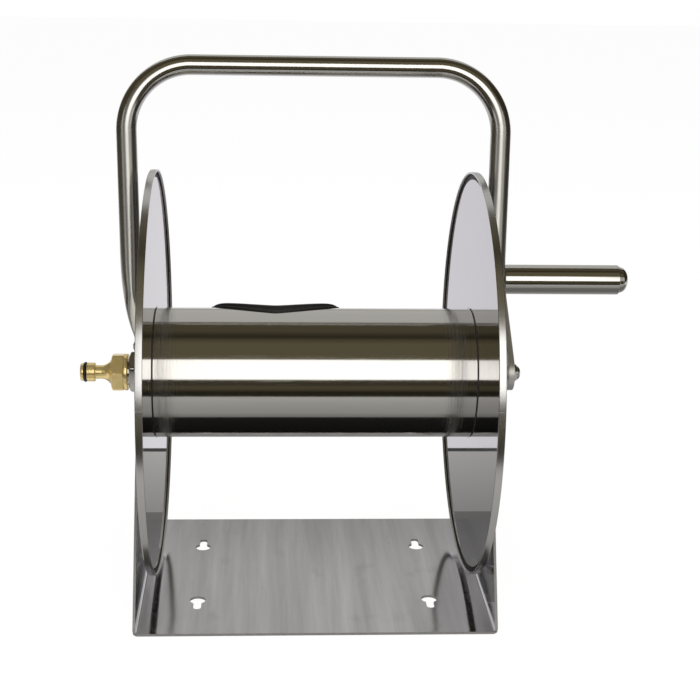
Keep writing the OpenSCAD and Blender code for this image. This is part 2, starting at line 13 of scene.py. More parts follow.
# %% The frame that all three tools share
import json
import math

import bmesh
import bpy
from mathutils import Matrix, Vector

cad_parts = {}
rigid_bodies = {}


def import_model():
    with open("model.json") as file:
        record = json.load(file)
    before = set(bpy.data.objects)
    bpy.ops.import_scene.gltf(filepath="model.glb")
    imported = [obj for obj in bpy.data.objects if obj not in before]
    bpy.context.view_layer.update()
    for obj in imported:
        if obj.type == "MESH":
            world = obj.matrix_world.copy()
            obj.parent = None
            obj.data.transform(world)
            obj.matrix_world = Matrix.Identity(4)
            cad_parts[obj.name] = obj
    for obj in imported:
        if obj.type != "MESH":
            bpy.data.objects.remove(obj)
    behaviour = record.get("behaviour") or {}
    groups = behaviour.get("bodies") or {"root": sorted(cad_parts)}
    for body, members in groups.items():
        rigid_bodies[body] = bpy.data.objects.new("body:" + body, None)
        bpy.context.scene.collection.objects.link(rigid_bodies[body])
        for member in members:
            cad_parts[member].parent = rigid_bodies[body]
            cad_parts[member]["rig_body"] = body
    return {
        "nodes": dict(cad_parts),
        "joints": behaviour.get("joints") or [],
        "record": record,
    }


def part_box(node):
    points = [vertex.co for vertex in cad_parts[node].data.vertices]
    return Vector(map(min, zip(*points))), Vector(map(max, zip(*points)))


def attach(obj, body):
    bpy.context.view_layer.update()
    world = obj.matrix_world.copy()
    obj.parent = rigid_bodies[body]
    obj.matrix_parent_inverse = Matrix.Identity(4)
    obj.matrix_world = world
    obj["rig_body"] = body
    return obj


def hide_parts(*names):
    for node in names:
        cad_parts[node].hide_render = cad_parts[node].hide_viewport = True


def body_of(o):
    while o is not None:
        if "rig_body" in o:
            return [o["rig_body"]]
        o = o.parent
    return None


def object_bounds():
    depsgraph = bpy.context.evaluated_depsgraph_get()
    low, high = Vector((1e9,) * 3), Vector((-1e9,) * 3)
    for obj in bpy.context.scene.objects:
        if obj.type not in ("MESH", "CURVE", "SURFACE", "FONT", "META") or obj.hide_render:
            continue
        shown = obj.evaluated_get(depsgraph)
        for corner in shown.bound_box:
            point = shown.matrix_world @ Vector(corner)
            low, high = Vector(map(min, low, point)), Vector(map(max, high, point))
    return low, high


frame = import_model()
nodes = frame["nodes"]
cad_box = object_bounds()
MM = 0.001


def in_mm(box, digits=3):
    """The lowest and the highest corner of a box, in millimetres."""
    return [[round(v / MM, digits) for v in corner] for corner in box]


print("CAD nodes:", len(nodes), "box in mm:", in_mm(cad_box, 1))

# %% [markdown]
# ## The camera
#
# A camera could be placed by eye. This one was worked out from the photograph instead: the two
# discs, the base's corners and the drum's outline are known shapes, so the place, the aim and the
# focal length that draw them where the photograph has them can be solved for. The picture's
# middle is not quite the lens's middle, so the lens is shifted a little.

# %% Camera
IMAGE_PX = 700
FOCAL_PX = 1390.35
LENS_MIDDLE_PX = (331.475, 350.817)
CAMERA_PLACE = Vector((-0.039655, -1.062746, 0.494266))
YAW, PITCH, ROLL = (math.radians(a) for a in (2.892, 16.159, 0.959))

camera_data = bpy.data.cameras.new("photo_camera")
camera = bpy.data.objects.new("photo_camera", camera_data)
bpy.context.scene.collection.objects.link(camera)
bpy.context.scene.camera = camera
camera_data.sensor_width = 36.0
camera_data.lens = FOCAL_PX / IMAGE_PX * camera_data.sensor_width
camera_data.shift_x = (IMAGE_PX / 2 - LENS_MIDDLE_PX[0]) / IMAGE_PX
camera_data.shift_y = (LENS_MIDDLE_PX[1] - IMAGE_PX / 2) / IMAGE_PX

ahead = Vector((math.sin(YAW) * math.cos(PITCH), math.cos(YAW) * math.cos(PITCH), -math.sin(PITCH)))
level = Vector((math.cos(YAW), -math.sin(YAW), 0.0))
upright = level.cross(ahead)
across = level * math.cos(ROLL) + upright * math.sin(ROLL)
above = upright * math.cos(ROLL) - level * math.sin(ROLL)
axes = Matrix((across, above, -ahead)).transposed()
camera.matrix_world = Matrix.Translation(CAMERA_PLACE) @ axes.to_4x4()
print("lens:", round(camera_data.lens, 2), "mm")

# %% [markdown]
# ## Shader maths as plain Python
#
# A material's pattern is arithmetic on numbers that change over the surface. Nodes could be placed
# one by one, but a formula is easier to read. So a small class wraps a socket, and + - * on it add
# the Math node that does the same. Every other kind of node comes from one method, which takes the
# node's type, its settings and what goes into its sockets. The methods after it are short names
# for the nodes that many finishes share.

# %% A socket with arithmetic
class Wire:
    """A socket of a finish. Adding, taking away or multiplying makes the node that does it."""

    def __init__(self, finish, socket):
        self.finish = finish
        self.socket = socket

    def maths(self, operation, left, right):
        return self.finish.node("ShaderNodeMath", {"operation": operation}, {0: left, 1: right})

    def __add__(self, other):
        return self.maths("ADD", self, other)

    def __radd__(self, other):
        return self.maths("ADD", other, self)

    def __sub__(self, other):
        return self.maths("SUBTRACT", self, other)

    def __rsub__(self, other):
        return self.maths("SUBTRACT", other, self)

    def __mul__(self, other):
        return self.maths("MULTIPLY", self, other)

    def __rmul__(self, other):
        return self.maths("MULTIPLY", other, self)


print("operators of a wire:", [name for name in vars(Wire) if name.endswith(("add__", "sub__", "mul__"))])

# %% A finish that holds the nodes
# A Mix node has several sockets of one name, so its colours are found by their numbers.
MIX_A, MIX_B, MIX_COLOUR = 6, 7, 2


class Finish:
    """One material, or the world, in the making."""

    def __init__(self, name, owner=None):
        self.material = owner or bpy.data.materials.new(name)
        self.material.use_nodes = True
        self.tree = self.material.node_tree
        self.tree.nodes.clear()

    def node(self, kind, settings=None, inputs=None, out=0):
        """Makes a node: its settings first, then the values or links of its sockets."""
        made = self.tree.nodes.new(kind)
        for key, value in (settings or {}).items():
            if key == "stops":
                ramp = made.color_ramp.elements
                while len(ramp) < len(value):
                    ramp.new(0.5)
                for stop, (place, share) in zip(ramp, value):
                    stop.position = place
                    stop.color = (share, share, share, 1.0)
            else:
                setattr(made, key, value)
        for key, value in (inputs or {}).items():
            if isinstance(value, Wire):
                self.tree.links.new(value.socket, made.inputs[key])
            else:
                made.inputs[key].default_value = value
        return Wire(self, made.outputs[out]) if made.outputs else None

    def place(self, stretch):
        """Where a point is on the object at rest, in metres, with each axis stretched."""
        spot = self.node("ShaderNodeTexCoord", out="Object")
        return self.node("ShaderNodeVectorMath", {"operation": "MULTIPLY"}, {0: spot, 1: stretch})

    def part(self, spot, axis):
        """One coordinate of a place."""
        return self.node("ShaderNodeSeparateXYZ", {}, {0: spot}, out="XYZ".index(axis))

    def noise(self, stretch, detail=3.0, rough=0.5):
        """A cloudy pattern from 0 to 1; a small stretch on an axis draws it out along that axis."""
        stretch = stretch if isinstance(stretch, tuple) else (stretch, stretch, stretch)
        inputs = {"Vector": self.place(stretch), "Scale": 1.0, "Detail": detail, "Roughness": rough}
        return self.node("ShaderNodeTexNoise", {}, inputs)

    def ramp(self, value, stops):
        return self.node("ShaderNodeValToRGB", {"stops": stops}, {"Fac": value})

    def peaks(self, pattern, start, full, top=1.0):
        """Only the peaks of a pattern: nothing below start, the top value from full upwards."""
        return self.ramp(pattern, [(start, 0.0), (full, top)])

    def shade(self, dark, light, amount):
        """A colour between two, by an amount from 0 to 1. A colour is three numbers or a wire."""
        dark, light = (c if isinstance(c, Wire) else (*c, 1) for c in (dark, light))
        inputs = {0: amount, MIX_A: dark, MIX_B: light}
        return self.node("ShaderNodeMix", {"data_type": "RGBA"}, inputs, out=MIX_COLOUR)

    def rays(self, *kinds):
        """For each kind of ray a wire that is 1 for such rays and 0 for all others."""
        return [self.node("ShaderNodeLightPath", out=f"Is {kind} Ray") for kind in kinds]

    def glow(self, colour, strength=1.0):
        return self.node("ShaderNodeEmission", {}, {"Color": (*colour, 1), "Strength": strength})

    def between(self, share, first, last):
        """Two shaders mixed: the first one where share is 0, the last one where it is 1."""
        return self.node("ShaderNodeMixShader", {}, {0: share, 1: first, 2: last})

    def close(self, shader):
        self.node("ShaderNodeOutputMaterial", {}, {"Surface": shader})
        return self.material

    def surface(self, colour, roughness, metallic, height, depth):
        """Closes the finish. The height pattern becomes a bump of this depth in metres."""
        bump = self.node("ShaderNodeBump", {}, {"Strength": 1.0, "Distance": depth, "Height": height})
        inputs = {"Base Color": colour, "Roughness": roughness, "Metallic": metallic, "Normal": bump}
        return self.close(self.node("ShaderNodeBsdfPrincipled", {}, inputs))


print("what a finish can make:", [name for name in vars(Finish) if not name.startswith("_")])

# %% [markdown]
# ## Polished steel
#
# The drum, the discs, the crank arm and the tubes are stainless steel, polished with a belt. At
# arm's length it is a mirror with a soft edge to every reflection, because the belt leaves lines
# too fine to see. A picture of scratches could be laid over it, but the lines have to follow each
# piece. So the finish takes the way the belt ran, draws a noise pattern out along it, and lets
# that pattern change the roughness and, by a trace, the height.
#
# The drum turned while it was polished, which leaves fine lines round it too. They blur what it
# mirrors sideways, but not up and down. The handle's legs are satin, rougher than its upper bar,
# and their colour is painted darker than the bar's plain steel as painted shade; roughness and
# colour change over a few centimetres of height.

# %% Polished and satin steel
# Depths and heights are in metres; lines, clouds and the like are so many to the metre.
STEEL = (0.60, 0.585, 0.56)
POLISH_DEPTH = 0.0000006
BELT_LINES, SCRATCH_LINES, SCRATCH_DRAW, CLOUDS = 1500.0, 420.0, 14.0, 9.0
RING_LINES, RING_DRAW = 2600.0, 7.0
BAR_FADE, BAR_ROUGHNESS = 0.035, 0.13


def lines_along(axis, fine, draw=4.0):
    """The stretch that draws a pattern out along one axis."""
    return tuple(draw if name == axis else fine for name in "XYZ")


def polished_steel(name, axis, roughness, tint=STEEL, rings=0.0, painted_shade_below=0.0):
    """Steel with belt lines along an axis, perhaps with rings round it, or with painted shade below a
    height.
    """
    finish = Finish(name)
    belt = finish.noise(lines_along(axis, BELT_LINES), detail=4.0, rough=0.65)
    clouds = finish.noise(CLOUDS, detail=2.0)
    scratches = finish.noise(lines_along(axis, SCRATCH_LINES, SCRATCH_DRAW), detail=1.0)
    scratches = finish.peaks(scratches, 0.66, 0.72)
    amount = clouds * 0.6 + belt * 0.4
    colour = finish.shade([0.94 * c for c in tint], [min(1.0, 1.04 * c) for c in tint], amount)
    # A noise is one half on average, so half of its weight comes off the roughness asked for.
    rough = belt * 0.04 + clouds * 0.03 + scratches * 0.04 + (roughness - 0.035)
    # Below this height the tint stays as painted shade; above it the colour turns to plain steel and the
    # polish to the bar's.
    if painted_shade_below:
        height = finish.part(finish.place((1.0, 1.0, 1.0)), "Z")
        up = finish.peaks(height, painted_shade_below, painted_shade_below + BAR_FADE)
        colour = finish.shade(colour, STEEL, up)
        rough = rough - up * (roughness - BAR_ROUGHNESS)
    relief = belt + scratches * 0.5
    if rings:
        relief = relief + finish.noise(lines_along(axis, RING_DRAW, RING_LINES), detail=2.0) * rings
    return finish.surface(colour, rough, 1.0, relief, POLISH_DEPTH)


drum_steel = polished_steel("drum_polished_steel", "X", 0.10, rings=45.0)
disc_steel = polished_steel("disc_polished_steel", "Z", 0.05, (0.56, 0.545, 0.57))
tube_steel = polished_steel("tube_polished_steel", "X", 0.10)
# The legs' darker tint is painted shade; the upper bar keeps plain steel.
handle_steel_painted_shade = polished_steel("handle_steel_with_painted_shade", "Z", 0.30, (0.50, 0.49, 0.46), painted_shade_below=0.35)
arm_steel = polished_steel("crank_satin_steel", "Y", 0.50, (0.80, 0.79, 0.76))
rim_steel = polished_steel("rim_satin_steel", "X", 0.24, (0.66, 0.65, 0.65))
nut_steel = polished_steel("nut_polished_steel", "X", 0.14, (0.70, 0.69, 0.67))
steels = (drum_steel, disc_steel, tube_steel, handle_steel_painted_shade, arm_steel, rim_steel, nut_steel)
print("polished steel finishes:", [steel.name for steel in steels])

# %% [markdown]
# ## Steel that no belt reaches
#
# The belt only reaches what stands out. The hollow behind a disc's rim and the seam beside the drum
# lie in deep shade, which is painted into their colour as near black. The bracket's laser-cut edges
# and keyhole walls are simply a darker grey. A plain dark colour would do from afar. Close up it
# takes fine grime with a few coarser spots, which are a little shinier.

# %% Dull steel
GRIME, SPOTS, GRIME_DEPTH = 420.0, 150.0, 0.00002


def dull_steel_and_painted_shade(name, dark, light):
    """A dull dark steel: a darker grey where the sheet is cut, and near-black painted shade where it is
    folded away.
    """
    finish = Finish(name)
    grime = finish.noise(GRIME, detail=5.0, rough=0.6)
    spots = finish.peaks(finish.noise(SPOTS), 0.55, 0.75)
    colour = finish.shade(dark, light, grime * 0.7 + spots * 0.3)
    return finish.surface(colour, grime * 0.2 + 0.45, spots * 0.3 + 0.5, grime + spots, GRIME_DEPTH)


# The near black of the rim's hollow and the drum's seam is painted shade; the cut edges are a darker grey.
hollow_painted_shade = dull_steel_and_painted_shade("rim_and_seam_painted_shade", (0.012, 0.011, 0.010), (0.050, 0.046, 0.040))
edge_steel = dull_steel_and_painted_shade("cut_edge_steel", (0.16, 0.155, 0.15), (0.34, 0.33, 0.32))
print("dull finishes:", hollow_painted_shade.name, edge_steel.name)

# %% [markdown]
# ## The bracket's mill finish
#
# The bracket is the plain sheet as it comes from the mill: greyer than the polished pieces, softer
# in its reflections, with faint streaks along the rolling direction and a few smudges from
# handling. The streaks are a noise drawn out from front to back. The smudges are a second noise of
# which only the peaks are kept, and they make the steel a little duller rather than darker.

# %% Mill finish
MILL_DEPTH = 0.000002
STREAKS, GRAIN = (60.0, 3.0, 3.0), (1500.0, 16.0, 16.0)
SMUDGES, SPECKS = (34.0, 26.0, 30.0), (210.0, 120.0, 120.0)


def mill_steel(name):
    finish = Finish(name)
    streaks = finish.noise(STREAKS, detail=5.0, rough=0.6)
    grain = finish.noise(GRAIN, detail=2.0)
    smudges = finish.peaks(finish.noise(SMUDGES, detail=5.0), 0.60, 0.72)
    specks = finish.noise(SPECKS, detail=4.0, rough=0.6)
    specks = finish.peaks(specks, 0.70, 0.74, top=0.5)
    light = streaks * 1.3 + grain * 0.12 - smudges * 0.12 - specks - 0.25
    colour = finish.shade((0.36, 0.355, 0.37), (0.74, 0.735, 0.76), light)
    rough = streaks * 0.05 + grain * 0.02 + smudges * 0.06 + 0.07
    return finish.surface(colour, rough, 1.0, grain * 0.3 + streaks * 4.0, MILL_DEPTH)


sheet_steel = mill_steel("bracket_mill_steel")
print("bracket finish:", sheet_steel.name)

# %% [markdown]
# ## Turned steel, fasteners and brass
#
# Hexagons, spindles and the brass nipple come off a lathe. The tool leaves rings round the axis,
# so their noise changes fast along X and hardly at all round it. Fasteners are bought in and
# tumbled, which leaves an even satin surface. The brass changes in patches between bright and a
# browner tone, where it has begun to tarnish.

# %% Turned metals
TARNISH, ROUND_AXIS = 130.0, 5.0


def turned_metal(name, dark, light, roughness, ring=2400.0, depth=0.000004, shine=1.0):
    """A lathe's finish; ring is how fine its rings are, depth how deep they are in metres."""
    finish = Finish(name)
    rings = finish.noise((ring, ROUND_AXIS, ROUND_AXIS), detail=1.0)
    tarnish = finish.noise(TARNISH, detail=2.0)
    colour = finish.shade(dark, light, rings * 0.35 + tarnish * 0.65)
    rough = rings * 0.10 + tarnish * 0.14 + (roughness - 0.12)
    return finish.surface(colour, rough, shine, rings, depth)


turned_steel = turned_metal("turned_steel", (0.60, 0.55, 0.54), (0.78, 0.73, 0.72), 0.32, shine=0.7)
fastener_steel = turned_metal("fastener_steel", (0.56, 0.555, 0.54), (0.68, 0.675, 0.66), 0.26, 400.0)
brass = turned_metal("turned_brass", (0.80, 0.60, 0.22), (0.98, 0.80, 0.42), 0.22, 900.0, 0.0000015, 0.80)
print("turned finishes:", turned_steel.name, fastener_steel.name, brass.name)

# %% [markdown]
# ## Rubber and nylon
#
# The port's trim and the seal rings are black rubber: nearly black, half matt, with the faint
# unevenness of a moulding and a trace of dust. The bushes are black nylon and the thrust washers
# white nylon. One function serves all of them, because they differ in colour and gloss alone.

# %% Mouldings
DUST, SKIN_DEPTH = 70.0, 0.000012


def moulded(name, dark, light, roughness, grain=900.0):
    finish = Finish(name)
    skin = finish.noise(grain, detail=2.0)
    dust = finish.noise(DUST, detail=5.0, rough=0.6)
    colour = finish.shade(dark, light, dust * 0.8 + skin * 0.2)
    rough = dust * 0.16 + skin * 0.06 + (roughness - 0.11)
    return finish.surface(colour, rough, 0.0, skin + dust, SKIN_DEPTH)


rubber = moulded("black_rubber", (0.004, 0.004, 0.004), (0.012, 0.012, 0.011), 0.46, 1800.0)
black_nylon = moulded("black_nylon", (0.012, 0.012, 0.013), (0.030, 0.030, 0.031), 0.50)
white_nylon = moulded("white_nylon", (0.70, 0.69, 0.65), (0.84, 0.83, 0.80), 0.48)
print("mouldings:", rubber.name, black_nylon.name, white_nylon.name)

# %% [markdown]
# ## Every CAD node in the finish of its own stuff
#
# The record says what each sub-part is made of. Finishes could be given piece by piece, but then
# one that is hidden inside the drum is soon forgotten. So every CAD node gets the plain finish of
# its stuff first. The pieces below that are made anew stand in for theirs, and choose for
# themselves, because a disc and the drum are the same steel with different polish.

# %% Plain finishes
PLAIN_FINISHES = {
    "satin_sheet": sheet_steel,
    "polished_sheet": drum_steel,
    "polished_tube": tube_steel,
    "turned_steel": turned_steel,
    "fasteners": fastener_steel,
    "brass": brass,
    "black_rubber": rubber,
    "black_nylon": black_nylon,
    "white_nylon": white_nylon,
}
slot_of = {part["node"]: part["material_slot"] for part in frame["record"]["subparts"]}
for name, thing in nodes.items():
    thing.data.materials.clear()
    thing.data.materials.append(PLAIN_FINISHES[slot_of[name]])
print("finished CAD nodes:", len(nodes))

# %% [markdown]
# ## Putting a piece into the scene
#
# The pieces below are drawn in millimetres, round the axle that the joint gives. Sizes that the
# CAD has already are read from its nodes, so both models keep the same ones. Each piece rides on
# its body, stands in for its CAD node, and keeps that node's stuff. Faces that meet at a small
# angle are shaded as one round surface; sharper edges stay edges.

# %% Sizes shared by several pieces, in millimetres
axle_place = frame["joints"][0]["pos_m"]
AXLE = tuple(round(v / MM, 3) for v in axle_place[1:])
cad = {node: in_mm(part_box(node)) for node in nodes}
RIM_IN, RIM_OUT = (corner[0] for corner in cad["right_flange"])
DISC_R = AXLE[1] - cad["right_flange"][0][2]
DRUM_R = AXLE[1] - cad["drum_shell"][0][2]
SIDE_OUT = cad["bracket"][1][0]
COLLAR_OUT = cad["right_bearing"][1][0]
SHEET, TAB_T = 1.5, 3.6
FACE_IN = cad["right_end_ring"][1][0]
FACE_OUT = FACE_IN + SHEET
TAB_OUT = SIDE_OUT + TAB_T
DRUM_WALL = 1.5
SAME_POINT, SAME_CAD_POINT, SMOOTH = 1e-7, 1e-6, 35.0
print("axle:", AXLE, "disc:", DISC_R, "drum:", DRUM_R, "side plate:", SIDE_OUT, "collar:", COLLAR_OUT)

# %% Pieces
def add_piece(name, points, faces, finish, body, stands_for, smooth=SMOOTH, flip=False):
    """Makes an object of points in millimetres; flip makes the other hand of it."""
    side = -1.0 if flip else 1.0
    mesh = bpy.data.meshes.new(name)
    mesh.from_pydata([(side * x * MM, y * MM, z * MM) for x, y, z in points], [], faces)
    work = bmesh.new()
    work.from_mesh(mesh)
    bmesh.ops.remove_doubles(work, verts=work.verts, dist=SAME_POINT)
    bmesh.ops.recalc_face_normals(work, faces=work.faces)
    work.to_mesh(mesh)
    work.free()
    return add_mesh(name, mesh, finish, body, stands_for, smooth)


def add_mesh(name, mesh, finish, body, stands_for, smooth, weighted=True):
    """Puts a mesh on its body, in the place of a CAD node."""
    mesh.shade_smooth()
    mesh.set_sharp_from_angle(angle=math.radians(smooth))
    mesh.materials.clear()
    mesh.materials.append(finish)
    piece = bpy.data.objects.new(name, mesh)
    bpy.context.scene.collection.objects.link(piece)
    if weighted:
        flats = piece.modifiers.new("flats_stay_flat", "WEIGHTED_NORMAL")
        flats.keep_sharp = True
    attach(piece, body)
    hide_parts(*stands_for)
    return piece


print("CAD nodes that a piece can stand in for:", len(slot_of))

# %% [markdown]
# ## Three ways to make a mesh
#
# Nearly every piece of the reel is turned, swept or cut from sheet. A turned piece is a closed
# outline spun round the axle; if the outline may change with the angle, the same function also
# makes hexagons with cut corners. A swept piece is a row of cross-sections joined into a skin. A
# sheet piece starts as a copy of its CAD node, whose shape is already right, and only gets its
# knife-sharp edges softened, since real edges always catch a thin line of light.

# %% Turned pieces
MOST_OF_EDGE, ON_AXIS = 0.45, 1e-6


def softened(loop, fillet=0.3, steps=3):
    """Rounds the corners of a closed loop of (x, r) points; a third number is a corner's own radius."""
    soft = []
    for i, corner in enumerate(loop):
        here = Vector(corner[:2])
        before = Vector(loop[i - 1][:2]) - here
        after = Vector(loop[(i + 1) % len(loop)][:2]) - here
        radius = corner[2] if len(corner) > 2 else fillet
        radius = min(radius, MOST_OF_EDGE * before.length, MOST_OF_EDGE * after.length)
        if here.y < ON_AXIS:
            radius = 0.0
        start = here + before.normalized() * radius if before.length else here
        end = here + after.normalized() * radius if after.length else here
        for k in range(steps + 1):
            t = k / steps
            soft.append(start * (1 - t) ** 2 + here * (2 * t * (1 - t)) + end * t**2)
    return soft


def ring_faces(rings, size):
    """The faces that join so many rings of so many points each, and the last ring to the first."""
    faces = []
    for i in range(rings):
        here, there = i * size, (i + 1) % rings * size
        for k in range(size):
            nxt = (k + 1) % size
            faces.append((here + k, here + nxt, there + nxt, there + k))
    return faces


def turned(outline, steps=192, start=0.0, centre=AXLE, fillet=0.3):
    """Spins an outline round a line along X. The outline is a loop, or a function of the angle."""
    points = []
    for i in range(steps):
        angle = start + 360.0 * i / steps
        loop = softened(outline(angle) if callable(outline) else outline, fillet)
        turn = math.radians(angle)
        points += [(x, centre[0] - r * math.cos(turn), centre[1] + r * math.sin(turn)) for x, r in loop]
    return points, ring_faces(steps, len(points) // steps)


print("points of a softened square:", len(softened([(0, 1), (2, 1), (2, 3), (0, 3)])))

# %% Hexagons with rounded and cut corners
CORNER_POWER, CORNER_WEIGHT, CUT_SHARE = 60, 1.25, 0.7


def flat_radius(angle, across_flats, corner):
    """Distance from the axis to a hexagon's side, at an angle; corner is where one corner points."""
    flat = across_flats / 2 / math.cos(math.radians((angle - corner) % 60.0 - 30.0))
    corner_r = across_flats / math.sqrt(3)
    total = flat**-CORNER_POWER + corner_r**-CORNER_POWER * CORNER_WEIGHT
    return total ** (-1 / CORNER_POWER)


def hexagon_rise(angle, x0, x1, across_flats, corner):
    """The outer part of a hexagon's outline, with its outer corners cut back by a cone."""
    corner_r = across_flats / math.sqrt(3)
    cut = (corner_r - across_flats / 2) * CUT_SHARE
    end_r = across_flats / 2 - cut / 2
    side = flat_radius(angle, across_flats, corner)
    start_of_cut = x1 - (side - end_r) * cut / (corner_r - end_r)
    return [(x0, side), (start_of_cut, side), (x1, end_r)]


print("hexagon 30 mm across its flats, rounded corner at", round(flat_radius(0.0, 30.0, 0.0), 2), "mm")

# %% Swept pieces
def swept(rings):
    """Joins rings of equally many points into one skin, with both ends closed."""
    size = len(rings[0])
    points = [p for ring in rings for p in ring]
    faces = [
        (i * size + k, i * size + (k + 1) % size, (i + 1) * size + (k + 1) % size, (i + 1) * size + k)
        for i in range(len(rings) - 1)
        for k in range(size)
    ]
    last = (len(rings) - 1) * size
    faces.append(tuple(range(size)))
    faces.append(tuple(last + k for k in range(size)))
    return points, faces


print("faces of a swept square bar:", len(swept([range(4), range(4)])[1]))

# %% Pieces that start from their CAD node
EDGE_STEPS, FLAT_WITHIN, EDGE_OVER = 2, math.radians(0.5), math.radians(30.0)


def refined(node, finish, edge=0.0):
    """A copy of a CAD node with smooth round faces and, if asked, edges softened by so many mm."""
    mesh = nodes[node].data.copy()
    work = bmesh.new()
    work.from_mesh(mesh)
    bmesh.ops.remove_doubles(work, verts=work.verts, dist=SAME_CAD_POINT)
    bmesh.ops.dissolve_limit(work, angle_limit=FLAT_WITHIN, verts=work.verts, edges=work.edges)
    work.to_mesh(mesh)
    work.free()
    piece = add_mesh(node + "_skin", mesh, finish, body_of(nodes[node])[0], (node,), SMOOTH, not edge)
    if edge:
        bevel = piece.modifiers.new("soft_edge", "BEVEL")
        bevel.width = edge * MM
        bevel.segments = EDGE_STEPS
        bevel.limit_method = "ANGLE"
        bevel.angle_limit = EDGE_OVER
        bevel.harden_normals = True
    return piece


print("edges over", round(math.degrees(EDGE_OVER)), "degrees can be softened")

# %% [markdown]
# ## The bracket
#
# One sheet of 2 mm steel: a base with four keyholes and two side plates, bent up along the
# sides. It could be cut again from outlines, but the CAD node already has the exact bends and
# holes. A copy with its edges softened by a quarter of a millimetre, as a laser-cut edge is after
# deburring, catches the light in the same thin lines as the photograph.

# %% Bracket
BASE_HALF, UPRIGHT, CUT = 125.0, 0.5, 0.05
bracket = refined("bracket", sheet_steel, edge=0.25)
bracket.data.materials.append(edge_steel)
for face in bracket.data.polygons:
    in_keyhole = abs(face.center.x) < BASE_HALF * MM and abs(face.normal.z) < UPRIGHT
    on_cut_edge = abs(face.normal.y) > CUT
    face.material_index = 1 if in_keyhole or on_cut_edge else 0
print("bracket faces:", len(bracket.data.polygons))

# %% [markdown]
# ## The discs
#
# Each disc is a round sheet whose rim is rolled over into a hollow bead, so that nobody is cut by
# it. Two things of the photograph tell how. The far half of a disc shows its face right up to a
# thin black line, which is the hollow in front of the bead, and then the bead's grey inner side.
# The near half shows the bead itself, five millimetres wide, without any hollow. A pressed step
# round the drum lets the ring of sheet between drum and rim lie a little further in than the
# middle. Spinning this cross-section round the axle gives the shape as finely as the mirror
# finish needs.

# %% Discs
BEND_R, PLATE_IN = 1.8, 124.7
PLATE_OUT = PLATE_IN + SHEET
HOLLOW_R, LIP_R, HOLLOW, HEM = 154.2, 158.6, 0.7, 1.7
STEP_R, STEP_START, STEP_END = 52.3, 2.3, 3.6
HOUSING_R, BOSS_R = 14.1, 11.1
NEARLY = 0.05


def disc_outline(hole_r):
    floor_out, floor_in = PLATE_OUT + HOLLOW, PLATE_IN + HOLLOW
    return [
        (FACE_IN, hole_r), (FACE_OUT, hole_r), (FACE_OUT, STEP_R + STEP_START, 1.0),
        (PLATE_OUT, STEP_R + STEP_END, 0.8), (PLATE_OUT, HOLLOW_R - 0.8, 0.4),
        (floor_out, HOLLOW_R, 0.4), (floor_out, LIP_R, 0.4), (RIM_OUT, LIP_R, 0.3),
        (RIM_OUT, DISC_R, BEND_R), (RIM_IN, DISC_R, BEND_R), (RIM_IN, LIP_R, 0.3), (RIM_IN + HEM, LIP_R),
        (floor_in, LIP_R, 0.3), (floor_in, HOLLOW_R, 0.2), (PLATE_IN, HOLLOW_R, 0.2),
        (PLATE_IN, STEP_R, 0.2), (FACE_IN, STEP_R, 0.1),
    ]


def disc_slot(x, r):
    """The finish of a disc's face: 0 for the sheet, 1 for the painted shade in the hollow, 2 on the bead, 3
    on its inner side.
    """
    in_hollow_x = RIM_IN + HEM - NEARLY < x < PLATE_IN + HOLLOW + NEARLY
    if in_hollow_x and HOLLOW_R - NEARLY < r < LIP_R + NEARLY:
        return 1
    if r > LIP_R + NEARLY:
        return 2
    return 3 if r > LIP_R - NEARLY else 0


for side, hole_r in (("left", HOUSING_R), ("right", BOSS_R)):
    points, faces = turned(disc_outline(hole_r), steps=288)
    flip = side == "left"
    disc = add_piece(f"{side}_disc", points, faces, disc_steel, "reel", (f"{side}_flange",), flip=flip)
    for finish in (hollow_painted_shade, rim_steel, arm_steel):
        disc.data.materials.append(finish)
    for face in disc.data.polygons:
        x = abs(face.center.x) / MM
        r = math.hypot(face.center.y, face.center.z - AXLE[1] * MM) / MM
        face.material_index = disc_slot(x, r)
print("disc faces:", len(disc.data.polygons))

# %% [markdown]
# ## The drum and its hose port
#
# The drum is a polished tube with a long hole high on its back, where the hose comes out of the
# drum. A hole could be cut with a Boolean, but that leaves long thin faces, which show in a
# mirror. So the tube is a grid, the squares inside the hole are left out, and the rubber trim
# that grips the hole's edge hides the steps.
#
# The hole is shaped like an eye: rounder than a diamond and more pointed than an oval. A curve
# whose two half sizes are raised to a power between one and two draws it. The trim's steps are the
# same curve with larger half sizes, so its lips stay parallel along the sides and sharpen a little
# at the tips, as rubber does when it is pulled round a tight corner.

# %% The eye curve
PORT_A, PORT_B, PORT_POWER = 46.0, 21.0, 1.4
PORT_X, PORT_TILT = -30.5, math.radians(22.0)


def eye_point(angle, grow):
    """A point of the eye with both half sizes grown, as (along the axle, round the drum)."""
    c, n = math.cos(math.radians(angle)), math.sin(math.radians(angle))
    share = 2 / PORT_POWER
    along = (PORT_A + grow) * math.copysign(abs(c) ** share, c)
    return along, (PORT_B + grow) * math.copysign(abs(n) ** share, n)


def inside_eye(u, v, grow):
    """Whether a point lies inside the eye grown by this much."""
    return (abs(u) / (PORT_A + grow)) ** PORT_POWER + (abs(v) / (PORT_B + grow)) ** PORT_POWER < 1.0


def on_drum(u, v, radius):
    """The point over (u, v) of the port's plane at this distance from the axle."""
    w = math.sqrt(radius**2 - v**2)
    y = v * math.cos(PORT_TILT) + w * math.sin(PORT_TILT)
    z = w * math.cos(PORT_TILT) - v * math.sin(PORT_TILT)
    return PORT_X + u, y, AXLE[1] + z


print("port:", 2 * PORT_A, "by", 2 * PORT_B, "mm")

# %% Drum tube
SEAM, STRIP = 0.8, 0.7
DRUM_STEPS, PORT_CELL, PORT_CELLS, WIDE_LINES = 360, 1.0, 52, [40.0, 80.0]
HIDDEN_BY_TRIM = 1.6


